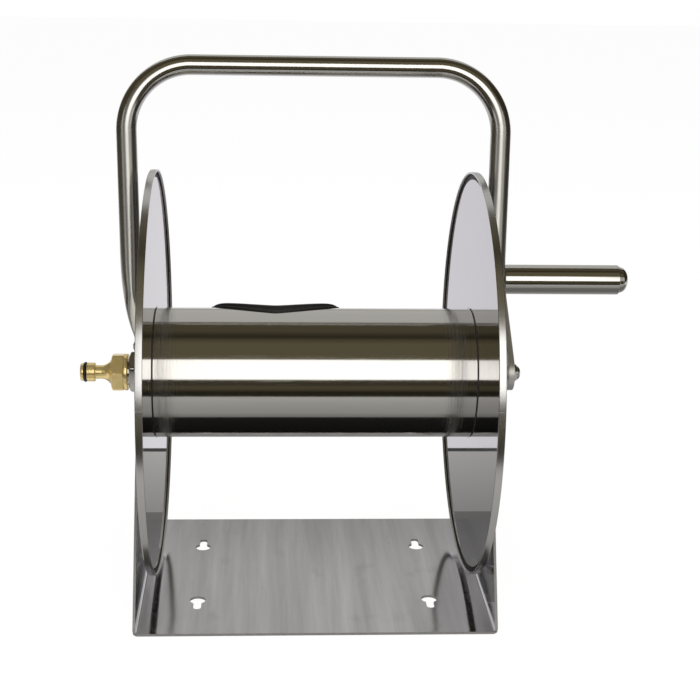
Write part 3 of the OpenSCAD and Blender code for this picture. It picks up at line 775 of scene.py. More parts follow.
def drum_tube():
    """The drum's wall as two grids, without the squares inside the port, joined at both ends."""
    end = FACE_IN - SEAM
    near = [PORT_X + PORT_CELL * k for k in range(-PORT_CELLS, PORT_CELLS + 1)]
    strip = [PLATE_IN - STRIP, PLATE_IN]
    lines = [-end] + [-x for x in reversed(strip)] + [x for x in near if abs(x) < strip[0] - 1]
    lines += WIDE_LINES + strip + [end]
    points, faces = [], []
    for r in (DRUM_R, DRUM_R - DRUM_WALL):
        first = len(points)
        for x in lines:
            for i in range(DRUM_STEPS):
                a = 2 * math.pi * i / DRUM_STEPS
                points.append((x, r * math.sin(a), AXLE[1] + r * math.cos(a)))
        for row in range(len(lines) - 1):
            for i in range(DRUM_STEPS):
                a = 2 * math.pi * (i + 0.5) / DRUM_STEPS - PORT_TILT
                u = (lines[row] + lines[row + 1]) / 2 - PORT_X
                if math.cos(a) > 0 and inside_eye(u, r * math.sin(a), HIDDEN_BY_TRIM):
                    continue
                here, nxt = first + row * DRUM_STEPS, (i + 1) % DRUM_STEPS
                faces.append((here + i, here + nxt, here + nxt + DRUM_STEPS, here + i + DRUM_STEPS))
    half = len(points) // 2
    for row in (0, len(lines) - 1):
        for i in range(DRUM_STEPS):
            here, nxt = row * DRUM_STEPS, (i + 1) % DRUM_STEPS
            faces.append((here + i, here + nxt, half + here + nxt, half + here + i))
    return points, faces


drum = add_piece("drum_tube", *drum_tube(), drum_steel, "reel", ("drum_shell",))
# The drum's last strip at each end, in the seam beside the disc, gets the near-black painted shade.
drum.data.materials.append(hollow_painted_shade)
for face in drum.data.polygons:
    face.material_index = 1 if abs(face.center.x) > (PLATE_IN - STRIP) * MM else 0
print("drum faces:", len(drum.data.polygons))

# %% [markdown]
# ## The port's trim
#
# The hose would chafe on a bare edge, so a rubber trim is pulled over it all round. It stands
# highest along the hole's sides and sinks towards the tips, where the rubber is stretched. Its
# cross-section changes from angle to angle, so it is made like a turned piece, but round the eye
# instead of a circle, and every point is laid on the drum.

# %% Port trim
TRIM_IN, TRIM_OUT, TRIM_BEAD, TRIM_H, TRIM_SKIRT = 1.5, 5.0, 2.0, 3.6, 1.2
TRIM_FULL, TIP_WIDENS, CLEAR, TRIM_STEPS = 0.5, 1.4, 0.02, 160


def trim_section(angle):
    """The trim's cross-section: (growth of the eye, distance from the axle, corner radius)."""
    wall_in = DRUM_R - DRUM_WALL
    rise = min(1.0, abs(math.sin(math.radians(angle))) / TRIM_FULL)
    foot = DRUM_R + TRIM_SKIRT
    top = foot + (TRIM_H - TRIM_SKIRT) * math.sin(rise * math.pi / 2) + CLEAR
    low, bead = wall_in - TRIM_SKIRT, TRIM_BEAD + TIP_WIDENS * (1 - rise)
    return [
        (-TRIM_IN, low, 0.6), (-TRIM_IN, top, 1.4), (bead, top, 1.6), (bead + 0.6, foot, 0.8),
        (TRIM_OUT, foot, 1.0), (TRIM_OUT, DRUM_R, 0.2), (0.0, DRUM_R, 0.0), (0.0, wall_in, 0.0),
        (TRIM_OUT - TRIM_IN, wall_in, 0.2), (TRIM_OUT - TRIM_IN, low, 0.6),
    ]


def port_trim():
    angles = [360.0 * (i + 0.5) / TRIM_STEPS for i in range(TRIM_STEPS)]
    sections = [softened(trim_section(a), steps=4) for a in angles]
    points = [on_drum(*eye_point(a, g), r) for a, section in zip(angles, sections) for g, r in section]
    return points, ring_faces(TRIM_STEPS, len(sections[0]))


trim = add_piece("port_trim", *port_trim(), rubber, "reel", ("hose_port_trim",), smooth=50.0)
print("trim faces:", len(trim.data.polygons))

# %% [markdown]
# ## The carry handle
#
# The handle is one tube. A bender gave it two upper bends, and a press flattened its ends into
# tabs: a round tube pressed flat grows wider as it gets thinner, because its skin keeps the same
# length all round. The CAD node is straight-edged there. Here the cross-section changes smoothly
# from a thin slab into a circle. Its outer side swells out soon above the tab, so the legs are
# round low down, while its inner side leans away slowly, and the skin joins them all.

# %% Handle line
TUBE_R, TAB_W, TAB_TIP = 8.0, 24.0, 0.6
FLAT_FROM, LEG_FOOT, FLAT_TO, LEG_GAP = 36.0, 98.0, 140.0, 0.6
SWELL_FROM, SWELL_TO = 26.0, 100.0
SLAB_POWER, ROUND_POWER = 9.0, 2.0
# The tab's width and its slab shape are gone so many times sooner than the swelling is done.
WIDTH_SOONER, SLAB_SOONER, SWELL_CURVE = 4, 2.2, 3
TAB_STEPS, LOW_STEPS, FLAT_STEPS, BEND_STEPS = 12, 4, 28, 32
LEG_RING, BEND_LEAD = 165.0, 3.0
BEND, SPLAY, LEAN = 51.0, math.radians(1.7), math.radians(13.0)
HANDLE_TOP = DISC_R + 82.5


def leg_x(height):
    return SIDE_OUT + LEG_GAP + TUBE_R + (height - LEG_FOOT) * math.tan(SPLAY)


BEND_Z = HANDLE_TOP - BEND
BEND_X = leg_x(BEND_Z) - BEND / math.cos(SPLAY)


def leg_station(s):
    """One cross-section between the tab and the round leg, at a height above the axle."""
    t = max(0.0, (s - FLAT_FROM) / (FLAT_TO - FLAT_FROM))
    swell = min(1.0, max(0.0, (s - SWELL_FROM) / (SWELL_TO - SWELL_FROM)))
    leg = leg_x(s) + TUBE_R
    outer = leg - (leg - SIDE_OUT - TAB_T) * (1 - swell) ** SWELL_CURVE
    inner = SIDE_OUT + (leg_x(FLAT_TO) - TUBE_R - SIDE_OUT) * t * t
    thin = (outer - inner) / 2
    wide = min(TAB_W / 2, math.sqrt(max(TUBE_R**2, 2 * TUBE_R**2 - thin**2)))
    wide += (TAB_W / 2 - wide) * (1 - min(1.0, WIDTH_SOONER * swell)) ** 2
    power = SLAB_POWER - (SLAB_POWER - ROUND_POWER) * min(1.0, SLAB_SOONER * swell)
    return (outer + inner) / 2, s, (math.sin(SPLAY), math.cos(SPLAY)), thin, wide, power


def handle_stations():
    """Middle line of the right half, from tab to top: (x, height, direction, half sizes, power)."""
    tab_x = SIDE_OUT + TAB_T / 2
    made = []
    for k in range(TAB_STEPS + 1):
        s = -TAB_W / 2 * math.cos(math.radians(90 * k / TAB_STEPS))
        half = max(TAB_TIP, math.sqrt(max(0.0, TAB_W**2 / 4 - s**2)))
        made.append((tab_x, s, (0.0, 1.0), TAB_T / 2, half, SLAB_POWER))
    made += [leg_station(FLAT_FROM * k / LOW_STEPS) for k in range(1, LOW_STEPS + 1)]
    flat = FLAT_TO - FLAT_FROM
    made += [leg_station(FLAT_FROM + flat * k / FLAT_STEPS) for k in range(1, FLAT_STEPS + 1)]
    low = BEND_Z - BEND * math.sin(SPLAY)
    round_tube = (TUBE_R, TUBE_R, ROUND_POWER)
    upwards = (math.sin(SPLAY), math.cos(SPLAY))
    made += [(leg_x(s), s, upwards, *round_tube) for s in (LEG_RING, low - BEND_LEAD)]
    for k in range(BEND_STEPS + 1):
        a = -SPLAY + (math.pi / 2 + SPLAY) * k / BEND_STEPS
        x, s = BEND_X + BEND * math.cos(a), BEND_Z + BEND * math.sin(a)
        made.append((x, s, (-math.sin(a), math.cos(a)), *round_tube))
    made.append((0.0, HANDLE_TOP, (-1.0, 0.0), *round_tube))
    return made


right_half = handle_stations()
left_half = [(-x, s, (w[0], -w[1]), a, b, p) for x, s, w, a, b, p in reversed(right_half[:-1])]
print("handle stations:", len(right_half), "on the right half")

# %% Handle skin
RING = 64


def handle_ring(x, s, way, thin, wide, power):
    """The points of one cross-section, between a slab and a circle, leaning back with the handle."""
    inwards = (-way[1], way[0])
    ring = []
    for k in range(RING):
        a = 2 * math.pi * k / RING
        c, n = math.cos(a), math.sin(a)
        p = thin * math.copysign(abs(c) ** (2 / power), c)
        q = wide * math.copysign(abs(n) ** (2 / power), n)
        px, ps = x + inwards[0] * p, s + inwards[1] * p
        y = q * math.cos(LEAN) + ps * math.sin(LEAN)
        z = ps * math.cos(LEAN) - q * math.sin(LEAN)
        ring.append((px, y, AXLE[1] + z))
    return ring


handle_rings = [handle_ring(*station) for station in right_half + left_half]
add_piece("handle_tube", *swept(handle_rings), handle_steel_painted_shade, "frame", ("carry_handle",), smooth=50.0)
print("handle rings:", len(handle_rings))

# %% [markdown]
# ## Hexagons on the axle
#
# Outside each tab sits a stainless hexagon. On the left it belongs to the hollow spindle that
# carries the water, on the right to the bearing that the crank's axle turns in. Their corners are
# cut back by a cone, as a lathe does it to every nut. Because a turned outline may depend on the
# angle here, a hexagon is a turned piece as well: its radius is the distance to the nearest flat.

# %% Inlet spindle and right bearing
JOURNAL_R, WATER_R, AXLE_BORE_R = 8.0, 5.0, 6.05
COLLAR_AF, COLLAR_TURN = 30.0, 26.0
STUB_R = 10.45
STUB_END, JOURNAL_X = (-corner[0] for corner in cad["inlet_spindle"])
THRUST_X = cad["right_bearing"][0][0]


def spindle_outline(angle):
    rise = hexagon_rise(angle, TAB_OUT, COLLAR_OUT, COLLAR_AF, COLLAR_TURN)
    return [
        (JOURNAL_X, WATER_R), (JOURNAL_X, JOURNAL_R), (TAB_OUT, JOURNAL_R), *rise,
        (COLLAR_OUT, STUB_R), (STUB_END, STUB_R), (STUB_END, WATER_R),
    ]


def bearing_outline(angle):
    rise = hexagon_rise(angle, TAB_OUT, COLLAR_OUT, COLLAR_AF, COLLAR_TURN)
    return [
        (THRUST_X, AXLE_BORE_R), (THRUST_X, JOURNAL_R), (TAB_OUT, JOURNAL_R), *rise,
        (COLLAR_OUT, AXLE_BORE_R),
    ]


spindle = turned(spindle_outline, start=COLLAR_TURN)
add_piece("spindle_hexagon", *spindle, nut_steel, "frame", ("inlet_spindle",), flip=True)
bearing = turned(bearing_outline, start=COLLAR_TURN)
add_piece("bearing_hexagon", *bearing, nut_steel, "frame", ("right_bearing",))
print("hexagons from x =", TAB_OUT, "to", COLLAR_OUT, "mm")

# %% [markdown]
# ## The brass nipple
#
# The hose is plugged on here. Outwards from the wall there is a skirt ring, a hexagon for the
# spanner, a hollow taper, a groove that the coupling's claws drop into, a thicker collar, and the
# seal ring in its groove. A power a little under two gives the taper the hollow shape that it has
# in the photograph.

# %% Brass nipple and its seal ring
NIPPLE_END, SKIRT_X = (-corner[0] for corner in cad["inlet_connector"])
HEX_X, TAPER_X, LATCH_X = 150.4, 160.0, 167.8
NIPPLE_X, RING_X, TIP_X = 173.1, 179.6, 182.2
NIPPLE_AF, NIPPLE_TURN, SKIRT_R, HEX_FOOT_R = 28.0, 10.5, 14.6, 13.3
GROOVE_R, FLARE, NIPPLE_R, TIP_R = 5.4, 5.3, 7.5, 7.0
TAPER_STEPS, TAPER_POWER = 8, 1.9
NIPPLE_BORE, SOCKET_END = 4.4, 158.3
CORD_MIDDLE_R, CORD_R, CORD_POINTS = 6.7, 1.3, 24


def nipple_outline(angle):
    rise = hexagon_rise(angle, HEX_X, TAPER_X, NIPPLE_AF, NIPPLE_TURN)
    taper = []
    for k in range(TAPER_STEPS + 1):
        t = k / TAPER_STEPS
        taper.append((TAPER_X + (LATCH_X - TAPER_X) * t, GROOVE_R + FLARE * (1 - t) ** TAPER_POWER, 0.1))
    return [
        (SKIRT_X, STUB_R), (SKIRT_X, SKIRT_R, 0.9), (HEX_X - 0.5, SKIRT_R, 0.5),
        (HEX_X - 0.5, HEX_FOOT_R, 0.2), (HEX_X, HEX_FOOT_R, 0.2), *rise, *taper,
        (NIPPLE_X, GROOVE_R, 0.4), (NIPPLE_X, NIPPLE_R, 0.7), (RING_X, NIPPLE_R, 0.3),
        (RING_X, GROOVE_R, 0.2), (TIP_X, GROOVE_R, 0.2), (TIP_X, TIP_R, 0.3), (NIPPLE_END, TIP_R, 1.3),
        (NIPPLE_END, NIPPLE_BORE, 0.4), (SOCKET_END, NIPPLE_BORE), (SOCKET_END, STUB_R),
    ]


nipple = turned(nipple_outline, start=NIPPLE_TURN)
add_piece("brass_nipple", *nipple, brass, "frame", ("inlet_connector",), flip=True)


def ring_outline(x, middle_r, cord_r):
    turns = [2 * math.pi * k / CORD_POINTS for k in range(CORD_POINTS)]
    return [(x + cord_r * math.cos(a), middle_r + cord_r * math.sin(a), 0.0) for a in turns]


seal = turned(ring_outline((RING_X + TIP_X) / 2, CORD_MIDDLE_R, CORD_R), fillet=0.0)
add_piece("nipple_seal_ring", *seal, rubber, "frame", ("connector_o_ring",), smooth=60.0, flip=True)
print("nipple length outside the collar:", round(NIPPLE_END - COLLAR_OUT, 1), "mm")

# %% [markdown]
# ## Screws with a socket
#
# The small screws are button heads with a hexagon socket. Each could be a plain dome, but the
# socket is what tells the eye that it is a screw. The outline again changes with the angle: from
# the bottom of the socket it climbs the flat of the hexagon and then runs down over the dome.

# %% Screw heads
HEAD_R, HEAD_H, HEAD_RIM, SHANK_R, KEY_AF, KEY_DEPTH = 4.2, 2.8, 1.0, 2.5, 3.0, 1.6
DOME_FROM, DOME_POINTS, CROWN_POWER, SHOULDER_POWER = 8, 5, 1.2, 0.9


def screw_outline(x, length):
    """A function of the angle: the outline of a screw whose head sits on x and points outwards."""
    def outline(angle):
        key = flat_radius(angle, KEY_AF, 0.0)
        top, key_end = x + HEAD_H, x + HEAD_H - KEY_DEPTH
        dome = [(top, key + 0.5, 0.2)]
        for k in range(1, DOME_POINTS + 1):
            t = math.radians(DOME_FROM + (90 - DOME_FROM) * k / DOME_POINTS)
            rise = (HEAD_H - HEAD_RIM) * math.cos(t) ** CROWN_POWER
            dome.append((x + HEAD_RIM + rise, HEAD_R * math.sin(t) ** SHOULDER_POWER, 0.1))
        return [
            (x - length, 0.0), (x - length, SHANK_R), (x, SHANK_R), (x, HEAD_R, 0.2), *reversed(dome),
            (top, key, 0.05), (key_end, key, 0.05), (key_end, 0.0),
        ]
    return outline


def screws(name, node, body, spots, flip=False):
    """Screws through a sheet, each at (side of the reel, centre, outer face of the sheet, length)."""
    points, faces = [], []
    for side, centre, face_x, length in spots:
        more, joins = turned(screw_outline(face_x, length), steps=48, centre=centre)
        faces += [tuple(len(points) + v for v in face) for face in joins]
        points += [(side * x, y, z) for x, y, z in more]
    add_piece(name, points, faces, fastener_steel, body, (node,), flip=flip)


def round_axle(radius, angle):
    """A centre at this distance from the axle; 0 is straight up and a right angle is backwards."""
    return AXLE[0] + radius * math.sin(angle), AXLE[1] + radius * math.cos(angle)


print("screw heads:", 2 * HEAD_R, "mm across, key:", KEY_AF, "mm")

# %% Screws of the discs and the tabs
CIRCLES = {"rim": ("flange_screws", 46.4, 10.5), "hub": ("hub_screws", 24.0, 5.1)}
for side in ("left", "right"):
    for place, (node, circle_r, length) in CIRCLES.items():
        centres = [round_axle(circle_r, math.radians(45 + 90 * k)) for k in range(4)]
        spots = [(1, centre, FACE_OUT, length) for centre in centres]
        screws(f"{side}_{place}_screws", f"{side}_{node}", "reel", spots, flip=side == "left")

TAB_SCREW_RISE, TAB_SCREW_LENGTH = 20.5, 9.6
tab_spot = round_axle(TAB_SCREW_RISE, LEAN)
spots = [(side, tab_spot, TAB_OUT, TAB_SCREW_LENGTH) for side in (1, -1)]
screws("tab_screws", "handle_screws", "frame", spots)

# %% [markdown]
# ## The crank
#
# The arm is a flat bar with two round ends. A domed nut holds it on two flats of the axle, and
# the grip turns on a pin at its other end. The arm starts from its CAD node; its edges are
# rounded by half a millimetre, because hands and sleeves brush past them.

# %% Crank arm and dome nut
refined("crank_arm", arm_steel, edge=0.5)
ARM_OUT = cad["crank_arm"][1][0]
NUT_X, NUT_AF, NUT_TURN = ARM_OUT + 1.0, 13.0, 20.0
NUT_HEX, NUT_BORE, NUT_DEPTH = 2.2, 4.0, 3.6
DOME_R, DOME_H, DOME_POWER, DOME_STEPS = 5.6, 3.2, 0.85, 8


def dome_nut_outline(angle):
    rise = hexagon_rise(angle, NUT_X, NUT_X + NUT_HEX, NUT_AF, NUT_TURN)
    dome = []
    for k in range(DOME_STEPS):
        t = math.radians(90 * k / DOME_STEPS)
        dome.append((NUT_X + NUT_HEX + DOME_H * math.sin(t), DOME_R * math.cos(t) ** DOME_POWER, 0.0))
    dome.append((NUT_X + NUT_HEX + DOME_H, 0.0, 0.0))
    depth = NUT_X + NUT_DEPTH
    return [(depth, 0.0), (depth, NUT_BORE, 0.0), (NUT_X, NUT_BORE), *rise, *dome]


dome_nut = turned(dome_nut_outline, start=NUT_TURN)
add_piece("crank_dome_nut", *dome_nut, nut_steel, "reel", ("acorn_nut",), smooth=40.0)
print("dome nut ends at x =", round(NUT_X + NUT_HEX + DOME_H, 1), "mm")

# %% [markdown]
# ## The grip
#
# The grip is a length of the same polished tube, turning on two nylon bushes. Its outer end is
# rounded, and a domed cap with a narrow rim closes it. Sleeve and cap are turned pieces round the
# pin at the crank's end.

# %% Grip sleeve and cap
CRANK_LEN, ARM_ANGLE = 95.0, math.radians(39.0)
GRIP = (CRANK_LEN * math.cos(ARM_ANGLE), AXLE[1] + CRANK_LEN * math.sin(ARM_ANGLE))
GRIP_IN, GRIP_OUT = (corner[0] for corner in cad["grip_sleeve"])
GRIP_R, GRIP_BORE, CAP_R, CAP_STEM = 12.5, 11.0, 11.25, 10.85
SOCKET, PLUG = GRIP_OUT - 2.5, GRIP_OUT - 2.4
CAP_RING, CAP_H, DOME_BASE_R, RIM_STEP, CAP_STEPS = 2.4, 8.5, 10.5, 0.4, 14

sleeve_outline = [
    (GRIP_IN, GRIP_BORE, 0.3), (GRIP_IN, GRIP_R, 0.6), (GRIP_OUT, GRIP_R, 1.2), (GRIP_OUT, CAP_STEM, 0.2),
    (SOCKET, CAP_STEM, 0.2), (SOCKET, GRIP_BORE, 0.2),
]
sleeve = turned(sleeve_outline, centre=GRIP)
add_piece("grip_tube", *sleeve, tube_steel, "grip", ("grip_sleeve",))

ring_out = GRIP_OUT + CAP_RING
cap_outline = [
    (PLUG, 0.0), (PLUG, CAP_STEM, 0.0), (GRIP_OUT, CAP_STEM, 0.0), (GRIP_OUT, CAP_R, 0.2),
    (ring_out, DOME_BASE_R + RIM_STEP, 0.3), (ring_out, DOME_BASE_R, 0.1),
]
for k in range(1, CAP_STEPS):
    t = math.radians(90 * k / CAP_STEPS)
    cap_outline.append((ring_out + (CAP_H - CAP_RING) * math.sin(t), DOME_BASE_R * math.cos(t), 0.0))
cap_outline.append((GRIP_OUT + CAP_H, 0.0, 0.0))
add_piece("grip_end_cap", *turned(cap_outline, centre=GRIP), tube_steel, "grip", ("grip_cap",), smooth=40.0)
print("grip ends at x =", round(GRIP_OUT + CAP_H, 1), "mm")

# %% [markdown]
# ## The small round pieces
#
# Nuts, washers, bushes and what sits inside the drum show little of themselves, or nothing. They
# could be turned again like the pieces above, but their CAD shape is enough. Copies with smooth
# round faces keep every one of them a piece of its own, in its own stuff.

# %% Small pieces from the CAD
for node in (
    "handle_nuts", "inlet_locknut", "swivel_o_rings", "left_thrust_washer", "connector_washer",
    "right_locknut", "right_thrust_washer", "left_end_ring", "right_end_ring", "swivel_housing",
    "hose_tail", "stub_axle", "crank_washer", "grip_spindle", "grip_nut", "grip_inner_bush",
    "grip_outer_bush",
):
    refined(node, PLAIN_FINISHES[slot_of[node]])

# %% [markdown]
# ## The floor
#
# The reel stands on a plain white ground and its shadow stays on it. A white plane alone would
# also be mirrored at full strength in the steel. So the floor tells the rays apart: the camera sees
# it nearly as white as the room, mirrors see it a little dimmer, and the rest of it is matt grey,
# which holds the shadow.

# %% Floor
AXLE_Z = AXLE[1] * MM
FLOOR_HALF, FLOOR_Z = 9.0, cad_box[0].z - 0.0004
MATT_GREY, WHITE_STRENGTH, DIM_WHITE = 0.76, 1.04, (0.77, 0.76, 0.785)
SEEN_WHITE, MIRRORED_DIM = 0.90, 0.95


def flat_card(name, corners, finish):
    """A card of four corners in metres, which is staging and no part of the reel."""
    mesh = bpy.data.meshes.new(name)
    mesh.from_pydata([Vector(c) for c in corners], [], [(0, 1, 2, 3)])
    mesh.materials.append(finish)
    card = bpy.data.objects.new(name, mesh)
    bpy.context.scene.collection.objects.link(card)
    return card


def floor_finish():
    finish = Finish("pale_floor")
    seen, mirrored = finish.rays("Camera", "Glossy")
    matt = finish.node("ShaderNodeBsdfDiffuse", {}, {"Color": (MATT_GREY, MATT_GREY, MATT_GREY, 1)})
    white = finish.glow((1, 1, 1), WHITE_STRENGTH)
    dim = finish.glow(DIM_WHITE)
    both = finish.between(seen * SEEN_WHITE, matt, white)
    return finish.close(finish.between(mirrored * MIRRORED_DIM, both, dim))


corners = [(x * FLOOR_HALF, y * FLOOR_HALF, FLOOR_Z) for x, y in ((-1, -1), (1, -1), (1, 1), (-1, 1))]
flat_card("floor", corners, floor_finish())
print("floor at", round(FLOOR_Z / MM, 2), "mm")

# %% [markdown]
# ## Cards that only mirrors see
#
# Polished steel has hardly a colour of its own: it shows what stands round it. The photograph's
# bands tell what that was. The camera is known, so from a point of the drum in the picture the
# mirrored ray can be followed to where it ends. A card stands at each of those places. It glows
# and may change along one axis, and only mirrors see it, so it neither lights matt surfaces nor
# throws a shadow. Three cards lie low over the base, between the reel and what it mirrors. They
# are clear from below, and at the angles where they would be in the way: two of them when they are
# seen flatly, the third when it is seen steeply.

# %% Card maker
def card_finish(name, first, last, axis, clear_stops):
    finish = Finish(name)
    along = finish.part(finish.node("ShaderNodeTexCoord", out="Generated"), axis)
    glow = finish.between(along, finish.glow(first), finish.glow(last))
    if clear_stops:
        clear = finish.node("ShaderNodeBsdfTransparent")
        facing = finish.node("ShaderNodeLayerWeight", {}, {"Blend": 0.5}, out="Facing")
        glow = finish.between(finish.ramp(facing, clear_stops), glow, clear)
        back = finish.node("ShaderNodeNewGeometry", out="Backfacing")
        glow = finish.between(back, glow, clear)
    return finish.close(glow)


def reflection_card(name, corners, first, last, axis, clear_stops=None):
    card = flat_card(name, corners, card_finish(name, first, last, axis, clear_stops))
    for kind in ("camera", "diffuse", "shadow", "transmission", "volume_scatter"):
        setattr(card, f"visible_{kind}", False)
    return card


def level_card(name, xs, ys, z, first, last, clear_stops=None):
    """A level card between two x and two y; y grows away from the camera."""
    corners = [(xs[0], ys[0], z), (xs[1], ys[0], z), (xs[1], ys[1], z), (xs[0], ys[1], z)]
    return reflection_card(name, corners, first, last, "Y", clear_stops)


def upright_card(name, xs, y, zs, first, last):
    """A card that stands across the room, between two x and two heights."""
    corners = [(xs[0], y, zs[0]), (xs[1], y, zs[0]), (xs[1], y, zs[1]), (xs[0], y, zs[1])]
    return reflection_card(name, corners, first, last, "Z")


def cards():
    """Every card made so far: the meshes that the camera doesn't see."""
    return [o for o in bpy.context.scene.objects if o.type == "MESH" and not o.visible_camera]


def grey(value):
    return (value, 0.99 * value, 0.95 * value)


def olive(value):
    return (value, 0.86 * value, 0.52 * value)


ROOM_HALF = 2.2
ROOM = (-ROOM_HALF, ROOM_HALF)
print("a middle grey:", grey(0.5), "a middle olive:", olive(0.5))

# %% [markdown]
# ## Over and behind the reel
#
# Over the reel there is an unlit ceiling with darker and lighter strips, and behind it a grey
# wall, darker near the ground. Each strip of the ceiling is given by the angles between which the
# axle sees it, because that is what a band on the drum tells.

# %% Ceiling and wall
def over_axle(height, degrees):
    """How far from the axle a ray has gone when it has risen to this height; 0 degrees is forward."""
    return -(height - AXLE_Z) / math.tan(math.radians(degrees))


CEILING_Z, WALL_Y = 1.6, 1.6
CEILING = [
    (38.5, 48, 0.15, 0.125), (48, 68, 0.13, 0.135), (68, 78, 0.13, 0.07),
    (78, 84, 0.034, 0.04), (84, 92, 0.045, 0.08), (92, 115, 0.09, 0.085),
]
for i, (start, end, first, last) in enumerate(CEILING):
    ys = (over_axle(CEILING_Z, start), over_axle(CEILING_Z, end))
    level_card(f"ceiling_{i}", ROOM, ys, CEILING_Z, olive(first), olive(last))

WALL_LOW, WALL_TOP = (AXLE_Z + WALL_Y * math.tan(math.radians(degrees)) for degrees in (8, 65))
WALL = [(WALL_LOW, 0.65, 0.43, 0.43), (0.65, 0.75, 0.43, 0.58), (0.75, WALL_TOP, 0.58, 0.60)]
for i, (low, high, first, last) in enumerate(WALL):
    upright_card(f"grey_wall_{i}", ROOM, WALL_Y, (low, high), grey(first), grey(last))
print("wall from", round(WALL_LOW, 2), "to", round(WALL_TOP, 2), "m")

# %% [markdown]
# ## In front of the reel and beside it
#
# The bright band comes from a soft box in front, between 4 and 41 degrees above the axle. The
# walls beside it are dimmer, the right one less so, and the strip of wall under it is nearly dark,
# which draws the dark line below the bright band. The two sides of the room are dark too: they are
# what the handle's legs and the rims show along their edges.

# %% Front and sides
FRONT_Y, FRONT_TOP = -2.25, 3.2
LIGHT_LOW, LIGHT_HIGH = 0.34, 2.09
BOX_ENDS = (-0.62, 1.15)
SIDE_X, SIDE_Y, SIDE_Z = 1.35, (-0.9, 1.55), (0.05, 3.0)
for i, (side, glow) in enumerate((("left", 0.26), ("right", 0.60))):
    xs = (BOX_ENDS[i], ROOM[i])
    upright_card(f"front_wall_{side}", xs, FRONT_Y, (LIGHT_LOW, FRONT_TOP), grey(glow), grey(0.6 * glow))
upright_card("dark_edge", ROOM, FRONT_Y, (0.0, LIGHT_LOW), olive(0.05), olive(0.05))
for name, x, glow in (("side_left", -SIDE_X, 0.07), ("side_right", SIDE_X, 0.04)):
    standing = [(x, SIDE_Y[0], SIDE_Z[0]), (x, SIDE_Y[1], SIDE_Z[0]), (x, SIDE_Y[1], SIDE_Z[1])]
    standing.append((x, SIDE_Y[0], SIDE_Z[1]))
    reflection_card(name, standing, olive(glow), olive(glow), "Z")
print("cards so far:", len(cards()))

# %% [markdown]
# ## The table
#
# The thin dark line across both discs is the back edge of a grey table, 269 mm behind the axle,
# and the drum's lower bands give its front edge, 375 mm in front. The ground before the table is
# dark, and the table's front is painted darker towards the base as painted shade. Over the
# bracket's base lie three small cards that paint light and shade on the base as mirrors see it:
# painted light at its front edge, painted shade nearly black under the drum, and painted shade
# where it is seen flatly in a disc. The grip mirrors the table beside the base, which is dimmer
# than its front.

# %% Ground and table
TABLE_FRONT, TABLE_BACK, TABLE_EDGE = -0.375, 0.269, 0.010
BASE_FRONT, BASE_BACK = -0.092, 0.09
TABLE, BASE, BASE_WIDE, BESIDE = (-0.8, 0.8), (-0.122, 0.122), (-0.134, 0.134), (0.14, 0.75)
GROUND_Z, OVER_BASE, SHADE_Z = 0.001, 0.012, 0.010
STEEP_ONLY, FLAT_ONLY = [(0.35, 0.0), (0.55, 1.0)], [(0.40, 1.0), (0.60, 0.45)]
LEVEL_CARDS = [
    ("ground_far", ROOM, (FRONT_Y, -1.15), GROUND_Z, olive(0.05), olive(0.08)),
    ("ground_middle", ROOM, (-1.15, -0.62), GROUND_Z, olive(0.12), olive(0.06)),
    ("ground_near", ROOM, (-0.62, TABLE_FRONT), GROUND_Z, olive(0.025), olive(0.018)),
    # The table's front card darkens towards the base: painted shade round the reel.
    ("table_front", TABLE, (TABLE_FRONT, BASE_FRONT), GROUND_Z, grey(0.58), grey(0.35)),
    # The three cards over the base paint its light and shade as mirrors see it: painted light at the front
    # edge, painted shade under the drum and where a disc sees it flatly.
    ("base_front", BASE, (-0.122, -0.098), OVER_BASE, grey(0.32), grey(0.28), STEEP_ONLY),
    ("base_painted_shade_under_drum", BASE, (-0.098, 0.034), OVER_BASE, grey(0.014), grey(0.006), STEEP_ONLY),
    ("base_shade", BASE_WIDE, (-0.090, BASE_BACK), SHADE_Z, grey(0.03), grey(0.05), FLAT_ONLY),
    ("table_back", TABLE, (BASE_BACK, TABLE_BACK), GROUND_Z, grey(0.26), grey(0.42)),
    ("table_beside", BESIDE, (BASE_FRONT, BASE_BACK), GROUND_Z, grey(0.21), grey(0.18)),
    ("table_edge", TABLE, (TABLE_BACK, TABLE_BACK + TABLE_EDGE), GROUND_Z, grey(0.06), grey(0.06)),
]
for card in LEVEL_CARDS:
    level_card(*card)
print("cards so far:", len(cards()))

# %% [markdown]
# ## The soft box
#
# The lamp itself is a cloth box. It could be one even card, but the drum's bright band fades out
# towards both discs. So the card glows fully in its middle and sinks to the wall's grey over 28 cm
# at each end.

# %% Soft box
BOX_MIDDLE, FADE_FROM, FADE_TO = 0.27, 0.58, 0.86
BOX_COLOUR, BOX_STRENGTH, ROUND_BOX = (1.0, 0.985, 0.94), 2.0, 0.33


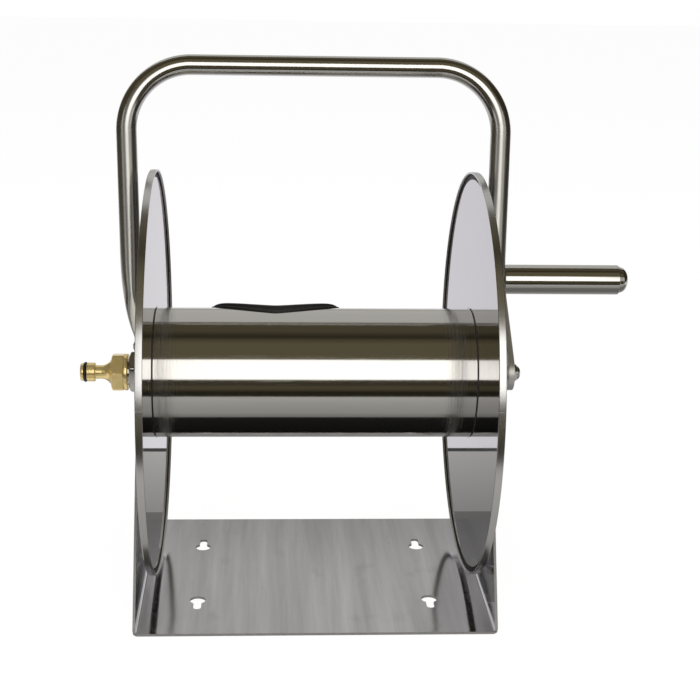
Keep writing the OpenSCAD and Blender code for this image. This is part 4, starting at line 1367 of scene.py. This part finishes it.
def soft_box():
    finish = Finish("soft_box")
    x = finish.part(finish.node("ShaderNodeTexCoord", out="Object"), "X")
    off = finish.node("ShaderNodeMath", {"operation": "ABSOLUTE"}, {0: x - BOX_MIDDLE})
    share = finish.ramp(off, [(FADE_FROM, 1.0), (FADE_TO, 0.0)])
    bright = finish.glow(BOX_COLOUR, BOX_STRENGTH)
    around = finish.glow(grey(ROUND_BOX))
    return finish.close(finish.between(share, around, bright))


box_card = upright_card("soft_box", BOX_ENDS, FRONT_Y, (LIGHT_LOW, LIGHT_HIGH), grey(1.0), grey(1.0))
box_card.data.materials[0] = soft_box()
print("cards in all:", len(cards()))

# %% [markdown]
# ## Lamps and the room
#
# Matt pieces, such as the rubber trim, don't see the cards. Two large soft lamps light them from
# where the soft box and the ceiling are, and mirrors don't see those. The room is white for the
# camera and for mirrors, and a softer grey as light, so that the shadow under the base stays.

# %% Lamps and room
LAMP_COLOUR, ROOM_LIGHT = (1.0, 0.985, 0.95), 0.55


def soft_light(name, place, aim, size, power):
    """A light for matt surfaces; mirrors see the cards instead."""
    data = bpy.data.lights.new(name, "AREA")
    data.shape = "RECTANGLE"
    data.size, data.size_y = size
    data.energy = power
    data.color = LAMP_COLOUR
    light = bpy.data.objects.new(name, data)
    light.location = place
    light.rotation_euler = (Vector(aim) - Vector(place)).to_track_quat("-Z", "Y").to_euler()
    light.visible_camera = False
    light.visible_glossy = False
    bpy.context.scene.collection.objects.link(light)


soft_light("front_fill", (0, FRONT_Y, 1.3), (0, 0, 0.15), (1.6, 1.4), 45.0)
soft_light("top_fill", (0, 0.2, 2.4), (0, 0, 0), (2.5, 2.5), 26.0)


def white_room():
    world = bpy.data.worlds.new("white_room")
    room = Finish("white_room", world)
    seen, *others = room.rays("Camera", "Glossy", "Transmission")
    for ray in others:
        seen = seen.maths("MAXIMUM", seen, ray)
    strength = seen * (1 - ROOM_LIGHT) + ROOM_LIGHT
    glow = room.node("ShaderNodeBackground", {}, {"Color": (1, 1, 1, 1), "Strength": strength})
    room.node("ShaderNodeOutputWorld", {}, {"Surface": glow})
    return world


bpy.context.scene.world = white_room()
bpy.context.scene.view_settings.view_transform = "Standard"

# %% [markdown]
# ## Closing
#
